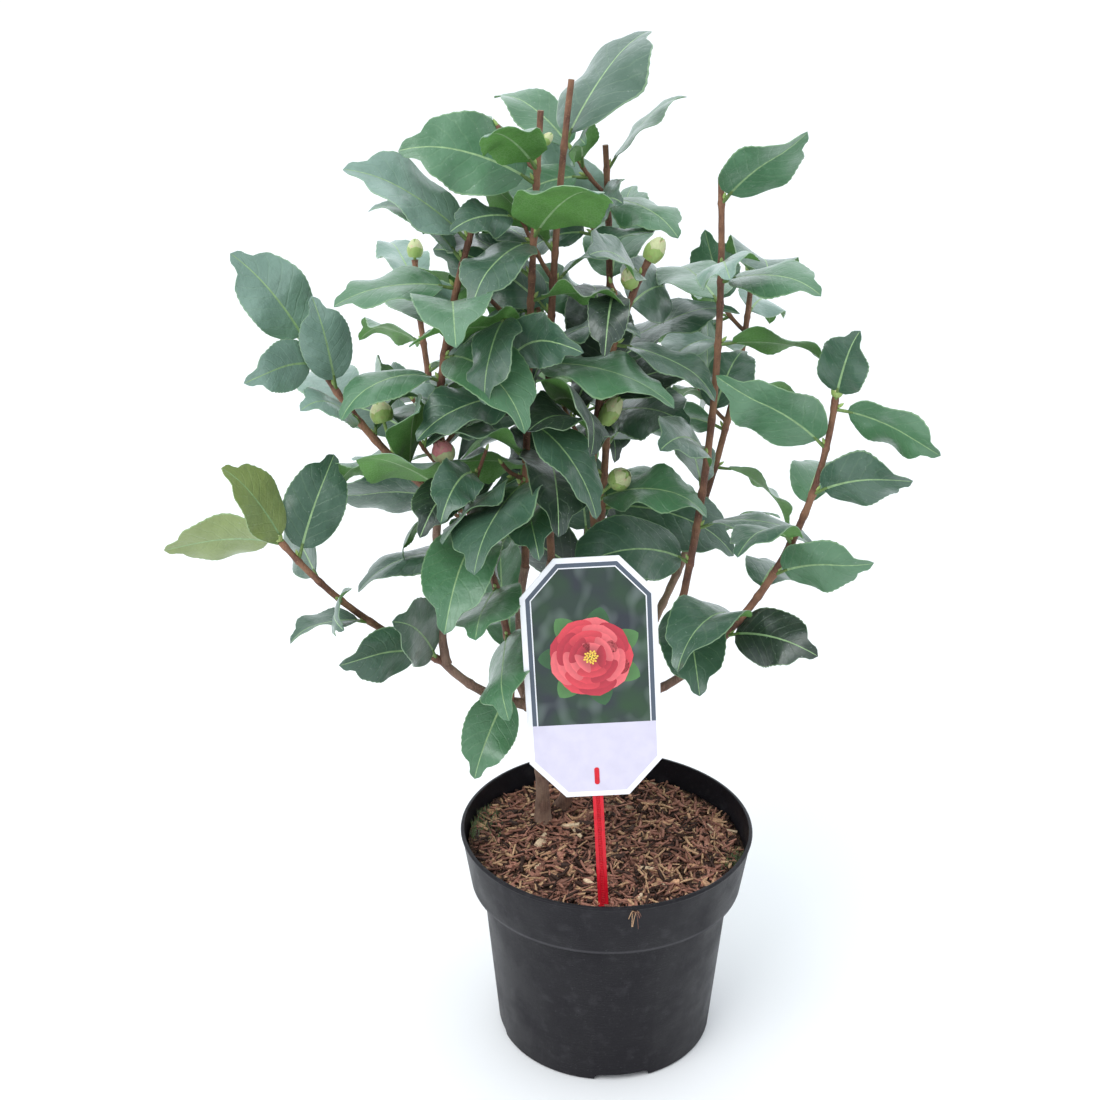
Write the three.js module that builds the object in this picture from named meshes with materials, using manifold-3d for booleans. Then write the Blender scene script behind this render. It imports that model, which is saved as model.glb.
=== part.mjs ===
// A young camellia, trained up several pruned stems, in its nursery pot with a plant label.
// Millimetres, +Z up. The origin is the middle of the pot's flat underside, and -Y is the front.
import * as THREE from "three";
import { mergeVertices } from "three/addons/utils/BufferGeometryUtils.js";
import Module from "manifold-3d";

const wasm = await Module();
wasm.setup();

// ---- Driving dimensions ----

const GAP = 0.3; // between any two pieces that touch
const WELD = 1e-4; // vertices nearer than this are one

const POT = {
  height: 150,
  rimRadius: 95, // outside, at the lip
  bandRadius: 88.8, // outside, at the foot of the rim band
  neckRadius: 81.2, // outside, under the ledge
  footRadius: 71.4,
  bandFoot: 112, // height of the rim band's lower edge
  ledgeFoot: 109,
  lip: 2.4, // height of the rounded lip
  lipTurn: 0.8, // how far the lip stands out of the band
  lipRound: 0.7, // height of each of its rounded corners
  wall: 1.6,
  padRadius: 44, // flat disc in the middle of the underside
  underRise: 5, // how far the ring round that disc is raised
  underSlope: 2,
  skirt: 3.4, // width of the foot ring
  chamfer: 1.1,
  sides: 48,
};
const NOTCH = { count: 4, width: 36, height: 4.6, depth: 16, turn: -82 }; // drains in the foot ring
const SOIL_TOP = 135;
const SOIL_CLEAR = 0.4; // between the soil and the pot's sloping wall

const CARD = { width: 80, height: 151, thick: 0.8, cornerWide: 21, cornerHigh: 23 };
const CARD_PLACE = { x: -12, y: -57, z: 285.4, leanBack: 6, leanSide: 3.1 }; // its middle, and degrees
const SLOT = { width: 3.6, height: 11.6, below: 62.3 }; // below the card's middle
const TONGUE = { width: 3, height: 11, thick: 2.6 }; // end of the stick, through the card's slot
const STICK = { width: 6.4, thick: 2.2, length: 116, lap: 18 }; // lap: how far it runs up behind the card

const LIMB_SIDES = 8;
const LIMB_STEPS = 6;
const ROOTED_STEPS = 12;
const FOOT = { flare: 3.6, fade: 9 }; // root flare where a stem leaves the soil
const STEM_FOOT = SOIL_TOP - 4; // where the rooted stems' axes start, under the flat cut
const SHOOT_SIDES = 5;
const SHOOT_STEPS = 8;
const SHOOT_RADIUS = { foot: 2.5, tip: 1.8 };
const CUT_SIZE = 400; // side of the block that makes a flat cut

const LEAF = {
  halfWidth: 0.28, // of the blade's length
  petiole: 8, // from the stem's axis to the blade
  petioleHalf: 1.1,
  thick: 0.021, // of the blade's length, at the midrib
  fold: 15, // degrees that each half is folded up
  skew: 0.82, // under 1, the blade is widest nearer its foot
  fullness: 0.85, // under 1, its sides are fuller than a sine's
  steps: 8, // of the midrib, from the blade's foot to its tip
  rings: [2, 4, 6], // the steps that carry a ring of the blade
  sink: 1.4, // how far its root runs on past the stem's axis
};
const GROWTH = {
  length: { least: 0.74, play: 0.44 }, // shares of a shoot's leaf length
  spread: { foot: 70, loss: 18, play: 40 }, // degrees between the stem and a leaf
  turnPlay: 50,
  droop: { least: 0.16, play: 1.28 },
  aimedDroop: 0.6,
  rollPlay: 90,
  placePlay: 6, // mm along the stem
  aimedRoom: 7, // no ruled leaf stands nearer than this to an aimed one
  clear: 0.5, // room kept round each blade
  retries: [0, 22, -22, 44, -44], // degrees round the stem, tried in turn
  leafSeeds: 100, // seeds kept for the leaves of one shoot
};
const CHANCE = { factor: 16807, limit: 2147483647, stride: 7919, start: 104729, warmUp: 3 };
// A bud is a sine's half wave turned about its axis, from the share `foot` of that wave on.
const BUD = { sides: 6, steps: 4, foot: 0.225, sink: 1, stalkRadius: 1.1, stalkSides: 3 };

// Trunk, second stem and boughs: from, to, bow (how far the middle is pushed out), end radii.
const LIMBS = {
  trunk: { from: [-42, 25, STEM_FOOT], to: [-50, 18, 232], bow: [3, 0, 0], radii: [4.6, 3.9] },
  second_stem: { from: [-31, 44, STEM_FOOT], to: [2, 26, 236], bow: [2, 0, 0], radii: [4, 3.3] },
  bough_leader: { from: [-50, 18, 232], to: [-36, 20, 328], bow: [-2, 0, 0], radii: [3.4, 2.7] },
  bough_front: { from: [-49, 18, 240], to: [-52, 0, 333], bow: [-5, -3, 0], radii: [3, 2.6] },
  bough_left: { from: [-50, 18, 228], to: [-104, 0, 268], bow: [-2, 0, -6], radii: [3.2, 2.7] },
  bough_left_rise: { from: [-102, 0, 267], to: [-104, 0, 378], bow: [-3, 0, 0], radii: [2.7, 2.5] },
  bough_middle: { from: [2, 26, 236], to: [-8, 10, 343], bow: [2, 0, 0], radii: [3, 2.6] },
  bough_right: { from: [3, 25, 232], to: [45, 10, 303], bow: [0, 0, -3], radii: [3, 2.6] },
  bough_low_right: { from: [2, 26, 224], to: [60, -10, 279], bow: [4, -3, -4], radii: [2.9, 2.5] },
  bough_back: { from: [1, 28, 234], to: [-4, 62, 338], bow: [0, 6, 0], radii: [2.9, 2.5] },
  bough_back_left: { from: [-50, 20, 224], to: [-85, 85, 298], bow: [0, 2, -4], radii: [2.9, 2.5] },
  bough_back_right: { from: [2, 29, 226], to: [55, 90, 308], bow: [2, 3, -4], radii: [2.9, 2.5] },
  bough_back_low: { from: [-27, 42, 160], to: [-10, 90, 258], bow: [0, 8, -4], radii: [2.9, 2.5] },
};
const ROOTED = ["trunk", "second_stem"];

// Leafy shoots. Leaves stand every `every` mm from `first` on, the last `bare` mm excepted, and go
// round the stem by `step` degrees from `turn` on. `aimed` holds the leaves that draw the crown's
// outline: place along the shoot, leaf tip and roll in degrees. Buds stand on a stalk.
const SHOOTS = {
  leaves_leader: {
    from: [-36, 20, 328], to: [-25, 20, 619], bow: [-6, 0, 0],
    first: 66, every: 18, bare: 84, turn: 260, step: 200, length: 74, seed: 163,
    aimed: [{ at: 255, tip: [18, 73, 646], roll: 169 }],
    buds: [{ at: 127, turn: 160, spread: 30, stalk: 46, length: 12, radius: 4 }],
  },
  leaves_front: {
    from: [-52, 0, 333], to: [-42, 0, 605], bow: [-2, 0, 0],
    first: 30, every: 19, bare: 44, turn: 255, step: 170, length: 74, seed: 523,
    aimed: [
      { at: 232, tip: [-118, -20, 592], roll: -70 },
      { at: 240, tip: [-71, -45, 604], roll: 30 },
      { at: 55, tip: [-82, -90, 370], roll: -158 },
      { at: 202, tip: [-12, -69, 580], roll: -14 },
    ],
    buds: [{ at: 252, turn: 0, spread: 40, stalk: 3, length: 8, radius: 2.6 }],
  },
  leaves_middle: {
    from: [-8, 10, 343], to: [20, 10, 521], bow: [-14, 0, 0],
    first: 26, every: 21, bare: 4, turn: 320, step: 140, length: 70, seed: 427,
    aimed: [],
    buds: [
      { at: 180, turn: 0, spread: 6, stalk: 2, length: 15, radius: 5 },
      { at: 160, turn: 200, spread: 35, stalk: 5, length: 12, radius: 4.5 },
      { at: 70, turn: 340, spread: 25, stalk: 12, length: 19, radius: 5 },
      { at: 30, turn: 330, spread: 50, stalk: 20, length: 13, radius: 6 },
    ],
  },
  leaves_back: {
    from: [-4, 62, 338], to: [-4, 70, 575], bow: [4, 5, 0],
    first: 10, every: 20, bare: 14, turn: 345, step: 220, length: 74, seed: 920,
    aimed: [
      { at: 222, tip: [41, 85, 607], roll: -20 },
      { at: 205, tip: [38, 20, 532], roll: 0 },
    ],
    buds: [],
  },
  leaves_left: {
    from: [-104, 0, 378], to: [-77, 0, 551], bow: [-8, 0, 0],
    first: 6, every: 14, bare: 20, turn: 210, step: 140, length: 74, seed: 932,
    aimed: [
      { at: 157, tip: [-148, -15, 581], roll: -30 },
      { at: 129, tip: [-160, -20, 502], roll: -10 },
    ],
    buds: [],
  },
  leaves_outer_left: {
    from: [-104, 0, 378], to: [-182, 20, 471], bow: [-5, 0, -5],
    first: 20, every: 14, bare: 20, turn: 255, step: 225, length: 70, seed: 327,
    aimed: [
      { at: 118, tip: [-216, 4, 527], roll: 10 },
      { at: 106, tip: [-205, -30, 459], roll: 60 },
      { at: 64, tip: [-175, -35, 452], roll: 90 },
    ],
    buds: [
      { at: 122, turn: 0, spread: 5, stalk: 2, length: 9, radius: 3.6 },
      { at: 34, turn: 0, spread: 30, stalk: 24, length: 13, radius: 6 },
    ],
  },
  leaves_low_left: {
    from: [-104, 0, 268], to: [-197, -20, 358], bow: [-6, 0, -5],
    first: 7, every: 18, bare: 30, turn: 355, step: 170, length: 68, seed: 991,
    aimed: [
      { at: 127, tip: [-221, -40, 414], roll: -10 },
      { at: 130, tip: [-264, -35, 357], roll: -120 },
      { at: 115, tip: [-166, 10, 404], roll: -110 },
      { at: 54, tip: [-195, -35, 302], roll: -30 },
      { at: 12, tip: [-160, -50, 290], roll: 10 },
    ],
    buds: [{ at: 131, turn: 0, spread: 5, stalk: 2, length: 7, radius: 2.4 }],
  },
  leaves_inner_left: {
    from: [-62, 13, 236], to: [-101, -10, 412], bow: [12, 0, -8],
    first: 31, every: 17, bare: 4, turn: 80, step: 180, length: 74, seed: 116,
    aimed: [{ at: 8, tip: [-84, -30, 200], roll: -20 }],
    buds: [{ at: 174, turn: 0, spread: 5, stalk: 2, length: 13, radius: 6 }],
  },
  leaves_right: {
    from: [45, 10, 303], to: [59, 10, 567], bow: [8, 0, 0],
    first: 6, every: 23, bare: 30, turn: 65, step: 140, length: 74, seed: 490,
    aimed: [
      { at: 250, tip: [100, -30, 594], roll: -40 },
      { at: 205, tip: [113, -35, 515], roll: 10 },
      { at: 3, tip: [52, -55, 272], roll: -172 },
    ],
    buds: [],
  },
  leaves_low_right: {
    from: [60, -10, 279], to: [125, -30, 451], bow: [14, 0, -8],
    first: 10, every: 20, bare: 30, turn: 15, step: 225, length: 70, seed: 775,
    aimed: [
      { at: 185, tip: [128, -60, 497], roll: -30 },
      { at: 181, tip: [181, -55, 421], roll: -60 },
      { at: 126, tip: [166, -60, 411], roll: -70 },
      { at: 156, tip: [58, -45, 462], roll: 60 },
      { at: 68, tip: [147, -55, 355], roll: -60 },
      { at: 17, tip: [120, -55, 301], roll: 80 },
    ],
    buds: [{ at: 187, turn: 0, spread: 5, stalk: 2, length: 8, radius: 3 }],
  },
  leaves_back_left: {
    from: [-85, 85, 298], to: [-125, 140, 490], bow: [-8, 8, 0],
    first: 6, every: 18, bare: 3, turn: 220, step: 170, length: 74, seed: 459,
    aimed: [],
    buds: [{ at: 205, turn: 0, spread: 5, stalk: 2, length: 12, radius: 4.5 }],
  },
  leaves_back_right: {
    from: [55, 90, 308], to: [95, 140, 480], bow: [8, 8, 0],
    first: 6, every: 25, bare: 3, turn: 325, step: 200, length: 74, seed: 773,
    aimed: [],
    buds: [{ at: 184, turn: 0, spread: 5, stalk: 2, length: 12, radius: 4.5 }],
  },
  leaves_back_low: {
    from: [-10, 90, 258], to: [-15, 165, 420], bow: [0, 12, -4],
    first: 6, every: 17, bare: 3, turn: 340, step: 220, length: 74, seed: 377,
    aimed: [],
    buds: [{ at: 180, turn: 0, spread: 5, stalk: 2, length: 12, radius: 4.5 }],
  },
};

const FINISH = {
  pot: { color: "#37363b", roughness: 0.6 },
  soil: { color: "#54382a", roughness: 0.95 },
  bark: { color: "#6b3f35", roughness: 0.75 },
  leaf: { color: "#35604a", roughness: 0.45 },
  card: { color: "#eeeef0", roughness: 0.5 },
  stick: { color: "#c81830", roughness: 0.35 },
};

// ---- Solids ----

const vector = (place) => new THREE.Vector3(...place);
const radians = THREE.MathUtils.degToRad;

// A closed geometry as a solid, its shared vertices merged.
function solidOf(geometry) {
  const bare = new THREE.BufferGeometry();
  bare.setAttribute("position", geometry.getAttribute("position"));
  bare.setIndex(geometry.index);
  const merged = mergeVertices(bare, WELD);
  return new wasm.Manifold(
    new wasm.Mesh({
      numProp: 3,
      vertProperties: merged.attributes.position.array,
      triVerts: new Uint32Array(merged.index.array),
    }),
  );
}

function geometryOf(solid) {
  const mesh = solid.getMesh();
  const geometry = new THREE.BufferGeometry();
  geometry.setAttribute("position", new THREE.BufferAttribute(mesh.vertProperties, 3));
  geometry.setIndex(new THREE.BufferAttribute(mesh.triVerts, 1));
  geometry.computeVertexNormals();
  return geometry;
}

// The largest body of a solid, so that a loose scrap is dropped.
function largest(solid) {
  return solid.decompose().reduce((best, body) => (body.volume() > best.volume() ? body : best));
}

// A solid as three.js places it: moved and turned by an Object3D's matrix.
function placed(geometry, place) {
  place.updateMatrixWorld(true);
  return solidOf(geometry.clone().applyMatrix4(place.matrixWorld));
}

// ---- Limbs ----

function curveOf({ from, to, bow }) {
  const start = vector(from);
  const end = vector(to);
  const middle = start.clone().add(end).multiplyScalar(0.5).addScaledVector(vector(bow), 2);
  return new THREE.QuadraticBezierCurve3(start, middle, end);
}

// The place `at` mm along a curve, with the directions along it, across it and round it.
function frameAt(curve, at) {
  const length = curve.getLength();
  const share = THREE.MathUtils.clamp(at / length, 0, 1);
  const along = curve.getTangentAt(share);
  const point = curve.getPointAt(share).addScaledVector(along, at - share * length);
  const across = new THREE.Vector3(1, 0, 0).projectOnPlane(along).normalize();
  const round = along.clone().cross(across);
  return { point, along, across, round };
}

// A closed tapering tube: a lathe profile bent along the curve, `grow` mm larger all round.
function limbSolid(curve, radiusAt, sides, steps, grow) {
  const length = curve.getLength();
  const start = -grow;
  const reach = length + 2 * grow;
  const profile = [new THREE.Vector2(0, start)];
  for (let i = 0; i <= steps; i += 1) {
    profile.push(new THREE.Vector2(radiusAt(i / steps) + grow, start + (reach * i) / steps));
  }
  profile.push(new THREE.Vector2(0, start + reach));
  const geometry = new THREE.LatheGeometry(profile, sides);
  const position = geometry.getAttribute("position");
  for (let i = 0; i < position.count; i += 1) {
    const { point, across, round } = frameAt(curve, position.getY(i));
    point.addScaledVector(across, position.getX(i)).addScaledVector(round, -position.getZ(i));
    position.setXYZ(i, point.x, point.y, point.z);
  }
  return solidOf(geometry);
}

// What later pieces keep clear of, each with its bounding box and the shoot that it belongs to.
const taken = [];

function boxOf(solid) {
  const { min, max } = solid.boundingBox();
  return new THREE.Box3(vector(min), vector(max));
}

function take(solid, owner) {
  taken.push({ solid, box: boxOf(solid), owner });
}

// Whether a solid touches nothing that is taken, leaving out what `owner` has.
function isFree(solid, owner) {
  const box = boxOf(solid);
  return !taken.some(
    (other) =>
      !(owner && other.owner === owner) &&
      other.box.intersectsBox(box) &&
      !other.solid.intersect(solid).isEmpty(),
  );
}

// A solid less all that is taken already.
function cutClear(solid) {
  const box = boxOf(solid);
  const near = taken.filter((other) => other.box.intersectsBox(box));
  return largest(near.reduce((rest, other) => rest.subtract(other.solid), solid));
}

function limb(name) {
  const { radii } = LIMBS[name];
  const curve = curveOf(LIMBS[name]);
  const flare = ROOTED.includes(name) ? FOOT.flare : 0;
  const radiusAt = (share) => {
    const fromFoot = share * curve.getLength();
    return THREE.MathUtils.lerp(...radii, share) + flare * Math.exp(-fromFoot / FOOT.fade);
  };
  const steps = flare ? ROOTED_STEPS : LIMB_STEPS;
  const solid = cutClear(limbSolid(curve, radiusAt, LIMB_SIDES, steps, 0));
  take(limbSolid(curve, radiusAt, LIMB_SIDES, steps, GAP));
  return solid;
}

// A flat cut at ground level, under which the soil is.
function cutAtGround(solid) {
  const below = new THREE.Object3D();
  below.position.z = SOIL_TOP + GAP - CUT_SIZE / 2;
  return solid.subtract(placed(new THREE.BoxGeometry(CUT_SIZE, CUT_SIZE, CUT_SIZE), below));
}

// ---- Leaves and buds ----

// Seeded chance: Park and Miller's generator, each draw between 0 and 1.
function chance(seed) {
  let state = (seed * CHANCE.stride + CHANCE.start) % CHANCE.limit;
  const draw = () => {
    state = (state * CHANCE.factor) % CHANCE.limit;
    return state / CHANCE.limit;
  };
  for (let i = 0; i < CHANCE.warmUp; i += 1) draw();
  return draw;
}

// The midrib's stations, from the blade's foot to its tip.
function midrib({ root, along, heading, length, droop, roll }) {
  const direction = heading.clone();
  const side = direction.clone().cross(along).normalize();
  side.applyAxisAngle(direction, radians(roll));
  const centre = root.clone().addScaledVector(direction, LEAF.petiole);
  const stations = [{ centre: centre.clone(), side: side.clone(), direction: direction.clone() }];
  for (let i = 0; i < LEAF.steps; i += 1) {
    direction.z -= droop / LEAF.steps;
    direction.normalize();
    centre.addScaledVector(direction, length / LEAF.steps);
    stations.push({
      centre: centre.clone(),
      side: side.clone().projectOnPlane(direction).normalize(),
      direction: direction.clone(),
    });
  }
  return stations;
}

// Half the blade's width, as a share of its widest, `share` of the way from foot to tip.
function bladeShape(share) {
  return Math.sin(Math.PI * share ** LEAF.skew) ** LEAF.fullness;
}

// A four-sided lens through the rings, pinched shut at both ends: a sphere, pulled into shape.
function lens(rings) {
  const last = rings.length - 1;
  const geometry = new THREE.SphereGeometry(1, 4, last);
  const position = geometry.getAttribute("position");
  for (let i = 0; i < position.count; i += 1) {
    const polar = Math.acos(THREE.MathUtils.clamp(position.getY(i), -1, 1));
    const ring = rings[Math.round((polar / Math.PI) * last)];
    const size = Math.max(Math.sin(polar), WELD);
    const across = Math.round(position.getX(i) / size) * ring.half;
    const lift = Math.round(position.getZ(i) / size) * ring.thick;
    const fold = radians(ring.fold);
    const up = ring.side.clone().cross(ring.direction);
    const point = ring.centre.clone();
    point.addScaledVector(ring.side, across * Math.cos(fold));
    point.addScaledVector(up, Math.abs(across) * Math.sin(fold) - lift);
    position.setXYZ(i, point.x, point.y, point.z);
  }
  return solidOf(geometry);
}

function bladeRings(stations, length, grow) {
  return LEAF.rings.map((step) => ({
    ...stations[step],
    half: bladeShape(step / LEAF.steps) * length * LEAF.halfWidth + grow,
    thick: (length * LEAF.thick) / 2 + grow,
    fold: LEAF.fold,
  }));
}

const pinched = (station, shift) => ({
  ...station,
  centre: station.centre.clone().addScaledVector(station.direction, shift),
  half: 0,
  thick: 0,
  fold: 0,
});

function leafSolid(leaf) {
  const stations = midrib(leaf);
  const [foot] = stations;
  const stalk = { half: LEAF.petioleHalf, thick: LEAF.petioleHalf, fold: 0 };
  const root = { ...foot, centre: leaf.root };
  return lens([
    pinched(root, -LEAF.sink),
    { ...root, ...stalk },
    { ...foot, ...stalk },
    ...bladeRings(stations, leaf.length, 0),
    pinched(stations.at(-1), 0),
  ]);
}

// The room that a leaf's blade needs.
function bladeRoom(leaf) {
  const stations = midrib(leaf);
  return lens([
    pinched(stations[0], 0),
    ...bladeRings(stations, leaf.length, GROWTH.clear),
    pinched(stations.at(-1), GROWTH.clear),
  ]);
}

// The room that its petiole needs.
function petioleRoom(leaf) {
  const [foot] = midrib(leaf);
  const size = LEAF.petioleHalf + GROWTH.clear;
  const root = { ...foot, centre: leaf.root };
  const rings = [root, foot].map((ring) => ({ ...ring, half: size, thick: size, fold: 0 }));
  return lens([pinched(root, -LEAF.sink), ...rings, pinched(foot, GROWTH.clear)]);
}

function takeLeaf(leaf, owner) {
  take(bladeRoom(leaf), owner);
  take(petioleRoom(leaf), owner);
}

// A leaf whose tip lies where the crown's outline needs it.
function aimedLeaf(curve, { at, tip, roll }) {
  const { point, along } = frameAt(curve, at);
  const reach = vector(tip).sub(point);
  const length = reach.length() - LEAF.petiole;
  const heading = reach.normalize();
  heading.z += GROWTH.aimedDroop / 2;
  return { root: point, along, heading: heading.normalize(), length, droop: GROWTH.aimedDroop, roll };
}

// The leaf that the rule gives at one place of a shoot, turned `shift` degrees round the stem.
function ruledLeaf(curve, shoot, index, shift) {
  const draw = chance(shoot.seed * GROWTH.leafSeeds + index);
  const play = (range) => (draw() - 0.5) * range;
  const at = shoot.first + index * shoot.every + play(GROWTH.placePlay);
  const turn = radians(shoot.turn + index * shoot.step + play(GROWTH.turnPlay) + shift);
  const { foot, loss, play: spreadPlay } = GROWTH.spread;
  const spread = radians(foot - (loss * at) / curve.getLength() + play(spreadPlay));
  const length = shoot.length * (GROWTH.length.least + GROWTH.length.play * draw());
  const droop = GROWTH.droop.least + GROWTH.droop.play * draw();
  const roll = play(GROWTH.rollPlay);
  const { point, along, across, round } = frameAt(curve, at);
  const heading = along.clone().multiplyScalar(Math.cos(spread));
  heading.addScaledVector(across, Math.cos(turn) * Math.sin(spread));
  heading.addScaledVector(round, Math.sin(turn) * Math.sin(spread));
  return { at, root: point, along, heading, length, droop, roll };
}

// The shoot's leaves by the rule. One that touches what is taken turns a little, or is skipped.
function ruledLeaves(curve, shoot, owner) {
  const leaves = [];
  const last = curve.getLength() - shoot.bare;
  for (let index = 0; shoot.first + index * shoot.every <= last; index += 1) {
    const { at } = ruledLeaf(curve, shoot, index, 0);
    if (shoot.aimed.some((aimed) => Math.abs(aimed.at - at) < GROWTH.aimedRoom)) continue;
    for (const shift of GROWTH.retries) {
      const leaf = ruledLeaf(curve, shoot, index, shift);
      if (isFree(bladeRoom(leaf)) && isFree(petioleRoom(leaf), owner)) {
        takeLeaf(leaf, owner);
        leaves.push(leaf);
        break;
      }
    }
  }
  return leaves;
}

// A pointed bud on its stalk, `grow` mm larger all round.
function budSolids(curve, { at, turn, spread, stalk, length, radius }, grow) {
  const { point, along, across, round } = frameAt(curve, at);
  const heading = along.clone().multiplyScalar(Math.cos(radians(spread)));
  heading.addScaledVector(across, Math.cos(radians(turn)) * Math.sin(radians(spread)));
  heading.addScaledVector(round, Math.sin(radians(turn)) * Math.sin(radians(spread)));
  const foot = point.clone().addScaledVector(heading, stalk);
  const tip = foot.clone().addScaledVector(heading, length);
  const swell = (share) => radius * Math.sin(Math.PI * THREE.MathUtils.lerp(BUD.foot, 1, share));
  const stem = new THREE.LineCurve3(point, foot.clone().addScaledVector(heading, BUD.sink));
  return [
    limbSolid(new THREE.LineCurve3(foot, tip), swell, BUD.sides, BUD.steps, grow),
    limbSolid(stem, () => BUD.stalkRadius, BUD.stalkSides, 1, grow),
  ];
}

// ---- Pot, soil and label ----

function lathe(profile) {
  const points = profile.map(([radius, height]) => new THREE.Vector2(radius, height));
  const upright = new THREE.Object3D();
  upright.rotation.x = Math.PI / 2;
  return placed(new THREE.LatheGeometry(points, POT.sides), upright);
}

const floorTop = POT.underRise + POT.wall;

// The inner wall's radii and heights, from the floor up to the lip.
function innerWall(clear) {
  const inset = POT.wall + clear;
  return [
    [POT.footRadius - inset, floorTop + clear],
    [POT.neckRadius - inset, POT.ledgeFoot + POT.wall],
    [POT.bandRadius - inset, POT.bandFoot + POT.wall],
    [POT.rimRadius - POT.lipTurn - inset, POT.height - POT.lip],
  ];
}

function notchCutters() {
  const box = new THREE.BoxGeometry(NOTCH.depth, NOTCH.width, 2 * NOTCH.height);
  return Array.from({ length: NOTCH.count }, (_, i) => {
    const ring = new THREE.Object3D();
    const cutter = new THREE.Object3D();
    ring.rotation.z = radians(NOTCH.turn + (360 / NOTCH.count) * i);
    cutter.position.x = POT.footRadius;
    ring.add(cutter);
    ring.updateMatrixWorld(true);
    return solidOf(box.clone().applyMatrix4(cutter.matrixWorld));
  });
}

function pot() {
  const inner = innerWall(0);
  const ringOuter = POT.footRadius - POT.chamfer - POT.skirt;
  const body = lathe([
    [0, 0],
    [POT.padRadius, 0],
    [POT.padRadius + POT.underSlope, POT.underRise],
    [ringOuter - POT.underSlope, POT.underRise],
    [ringOuter, 0],
    [POT.footRadius - POT.chamfer, 0],
    [POT.footRadius, POT.chamfer],
    [POT.neckRadius, POT.ledgeFoot],
    [POT.bandRadius, POT.bandFoot],
    [POT.rimRadius - POT.lipTurn, POT.height - POT.lip],
    [POT.rimRadius, POT.height - POT.lip + POT.lipRound],
    [POT.rimRadius, POT.height - POT.lipRound],
    [POT.rimRadius - POT.lipTurn, POT.height],
    [inner[3][0], POT.height],
    ...inner.reverse(),
    [0, floorTop],
  ]);
  return notchCutters().reduce((rest, cutter) => rest.subtract(cutter), body);
}

// The soil fills the pot to a flat top.
function soil() {
  const [floor, neck, band, rim] = innerWall(SOIL_CLEAR);
  const share = (SOIL_TOP - band[1]) / (rim[1] - band[1]);
  const edge = THREE.MathUtils.lerp(band[0], rim[0], share);
  return lathe([[0, floor[1]], floor, neck, band, [edge, SOIL_TOP], [0, SOIL_TOP]]);
}

// The label's own space: its middle, leaning back and a little to one side.
function labelSpace() {
  const space = new THREE.Object3D();
  space.position.set(CARD_PLACE.x, CARD_PLACE.y, CARD_PLACE.z);
  space.rotation.set(radians(-CARD_PLACE.leanBack), radians(-CARD_PLACE.leanSide), 0);
  return space;
}

function inLabelSpace(geometry, x, y, z) {
  const space = labelSpace();
  const child = new THREE.Object3D();
  child.position.set(x, y, z);
  space.add(child);
  space.updateMatrixWorld(true);
  return solidOf(geometry.clone().applyMatrix4(child.matrixWorld));
}

// The card is an octagon with a slot that the stick's tongue comes through, grown by `grow`.
function card(grow) {
  const [x, z] = [CARD.width / 2 + grow, CARD.height / 2 + grow];
  const [a, b] = [x - CARD.cornerWide, z - CARD.cornerHigh];
  const corners = [[-a, -z], [a, -z], [x, -b], [x, b], [a, z], [-a, z], [-x, b], [-x, -b]];
  const outline = new THREE.Shape(corners.map(([u, v]) => new THREE.Vector2(u, v)));
  const depth = CARD.thick + 2 * grow;
  const geometry = new THREE.ExtrudeGeometry(outline, { depth, bevelEnabled: false });
  geometry.rotateX(Math.PI / 2);
  return inLabelSpace(geometry, 0, depth / 2, 0);
}

function cardWithSlot() {
  const slot = new THREE.BoxGeometry(SLOT.width, CARD.thick * 4, SLOT.height);
  return card(0).subtract(inLabelSpace(slot, 0, 0, -SLOT.below));
}

// The stick stands behind the card, and its tongue comes through the slot.
function stick() {
  const back = CARD.thick / 2 + GAP + STICK.thick / 2;
  const top = -SLOT.below + STICK.lap;
  const bar = new THREE.BoxGeometry(STICK.width, STICK.thick, STICK.length);
  const tongue = new THREE.BoxGeometry(TONGUE.width, TONGUE.thick, TONGUE.height);
  const reach = back - TONGUE.thick / 2;
  return cutAtGround(
    inLabelSpace(bar, 0, back, top - STICK.length / 2).add(inLabelSpace(tongue, 0, reach, -SLOT.below)),
  );
}

// ---- The plant ----

function mesh(name, solid, finish) {
  const material = new THREE.MeshStandardMaterial({ ...finish, metalness: 0 });
  const made = new THREE.Mesh(geometryOf(solid), material);
  made.name = name;
  return made;
}

function limbs() {
  return Object.keys(LIMBS).map((name) => {
    const solid = ROOTED.includes(name) ? cutAtGround(limb(name)) : limb(name);
    return mesh(name, solid, FINISH.bark);
  });
}

// Each shoot: its stem, its aimed leaves, its buds and its ruled leaves, fused into one mass.
function masses() {
  const radiusAt = (share) => THREE.MathUtils.lerp(SHOOT_RADIUS.foot, SHOOT_RADIUS.tip, share);
  const grown = Object.entries(SHOOTS).map(([name, shoot]) => {
    const curve = curveOf(shoot);
    const stem = cutClear(limbSolid(curve, radiusAt, SHOOT_SIDES, SHOOT_STEPS, 0));
    take(limbSolid(curve, radiusAt, SHOOT_SIDES, SHOOT_STEPS, GAP), name);
    return { name, shoot, curve, stem };
  });
  grown.forEach((one) => {
    one.leaves = one.shoot.aimed.map((aimed) => aimedLeaf(one.curve, aimed));
    one.leaves.forEach((leaf) => takeLeaf(leaf, one.name));
    one.buds = one.shoot.buds.flatMap((bud) => budSolids(one.curve, bud, 0));
    one.shoot.buds.forEach((bud) => {
      budSolids(one.curve, bud, GROWTH.clear).forEach((room) => take(room, one.name));
    });
  });
  grown.forEach((one) => one.leaves.push(...ruledLeaves(one.curve, one.shoot, one.name)));
  return grown.map(({ name, stem, leaves, buds }) =>
    mesh(name, wasm.Manifold.union([stem, ...leaves.map(leafSolid), ...buds]), FINISH.leaf),
  );
}

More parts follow.
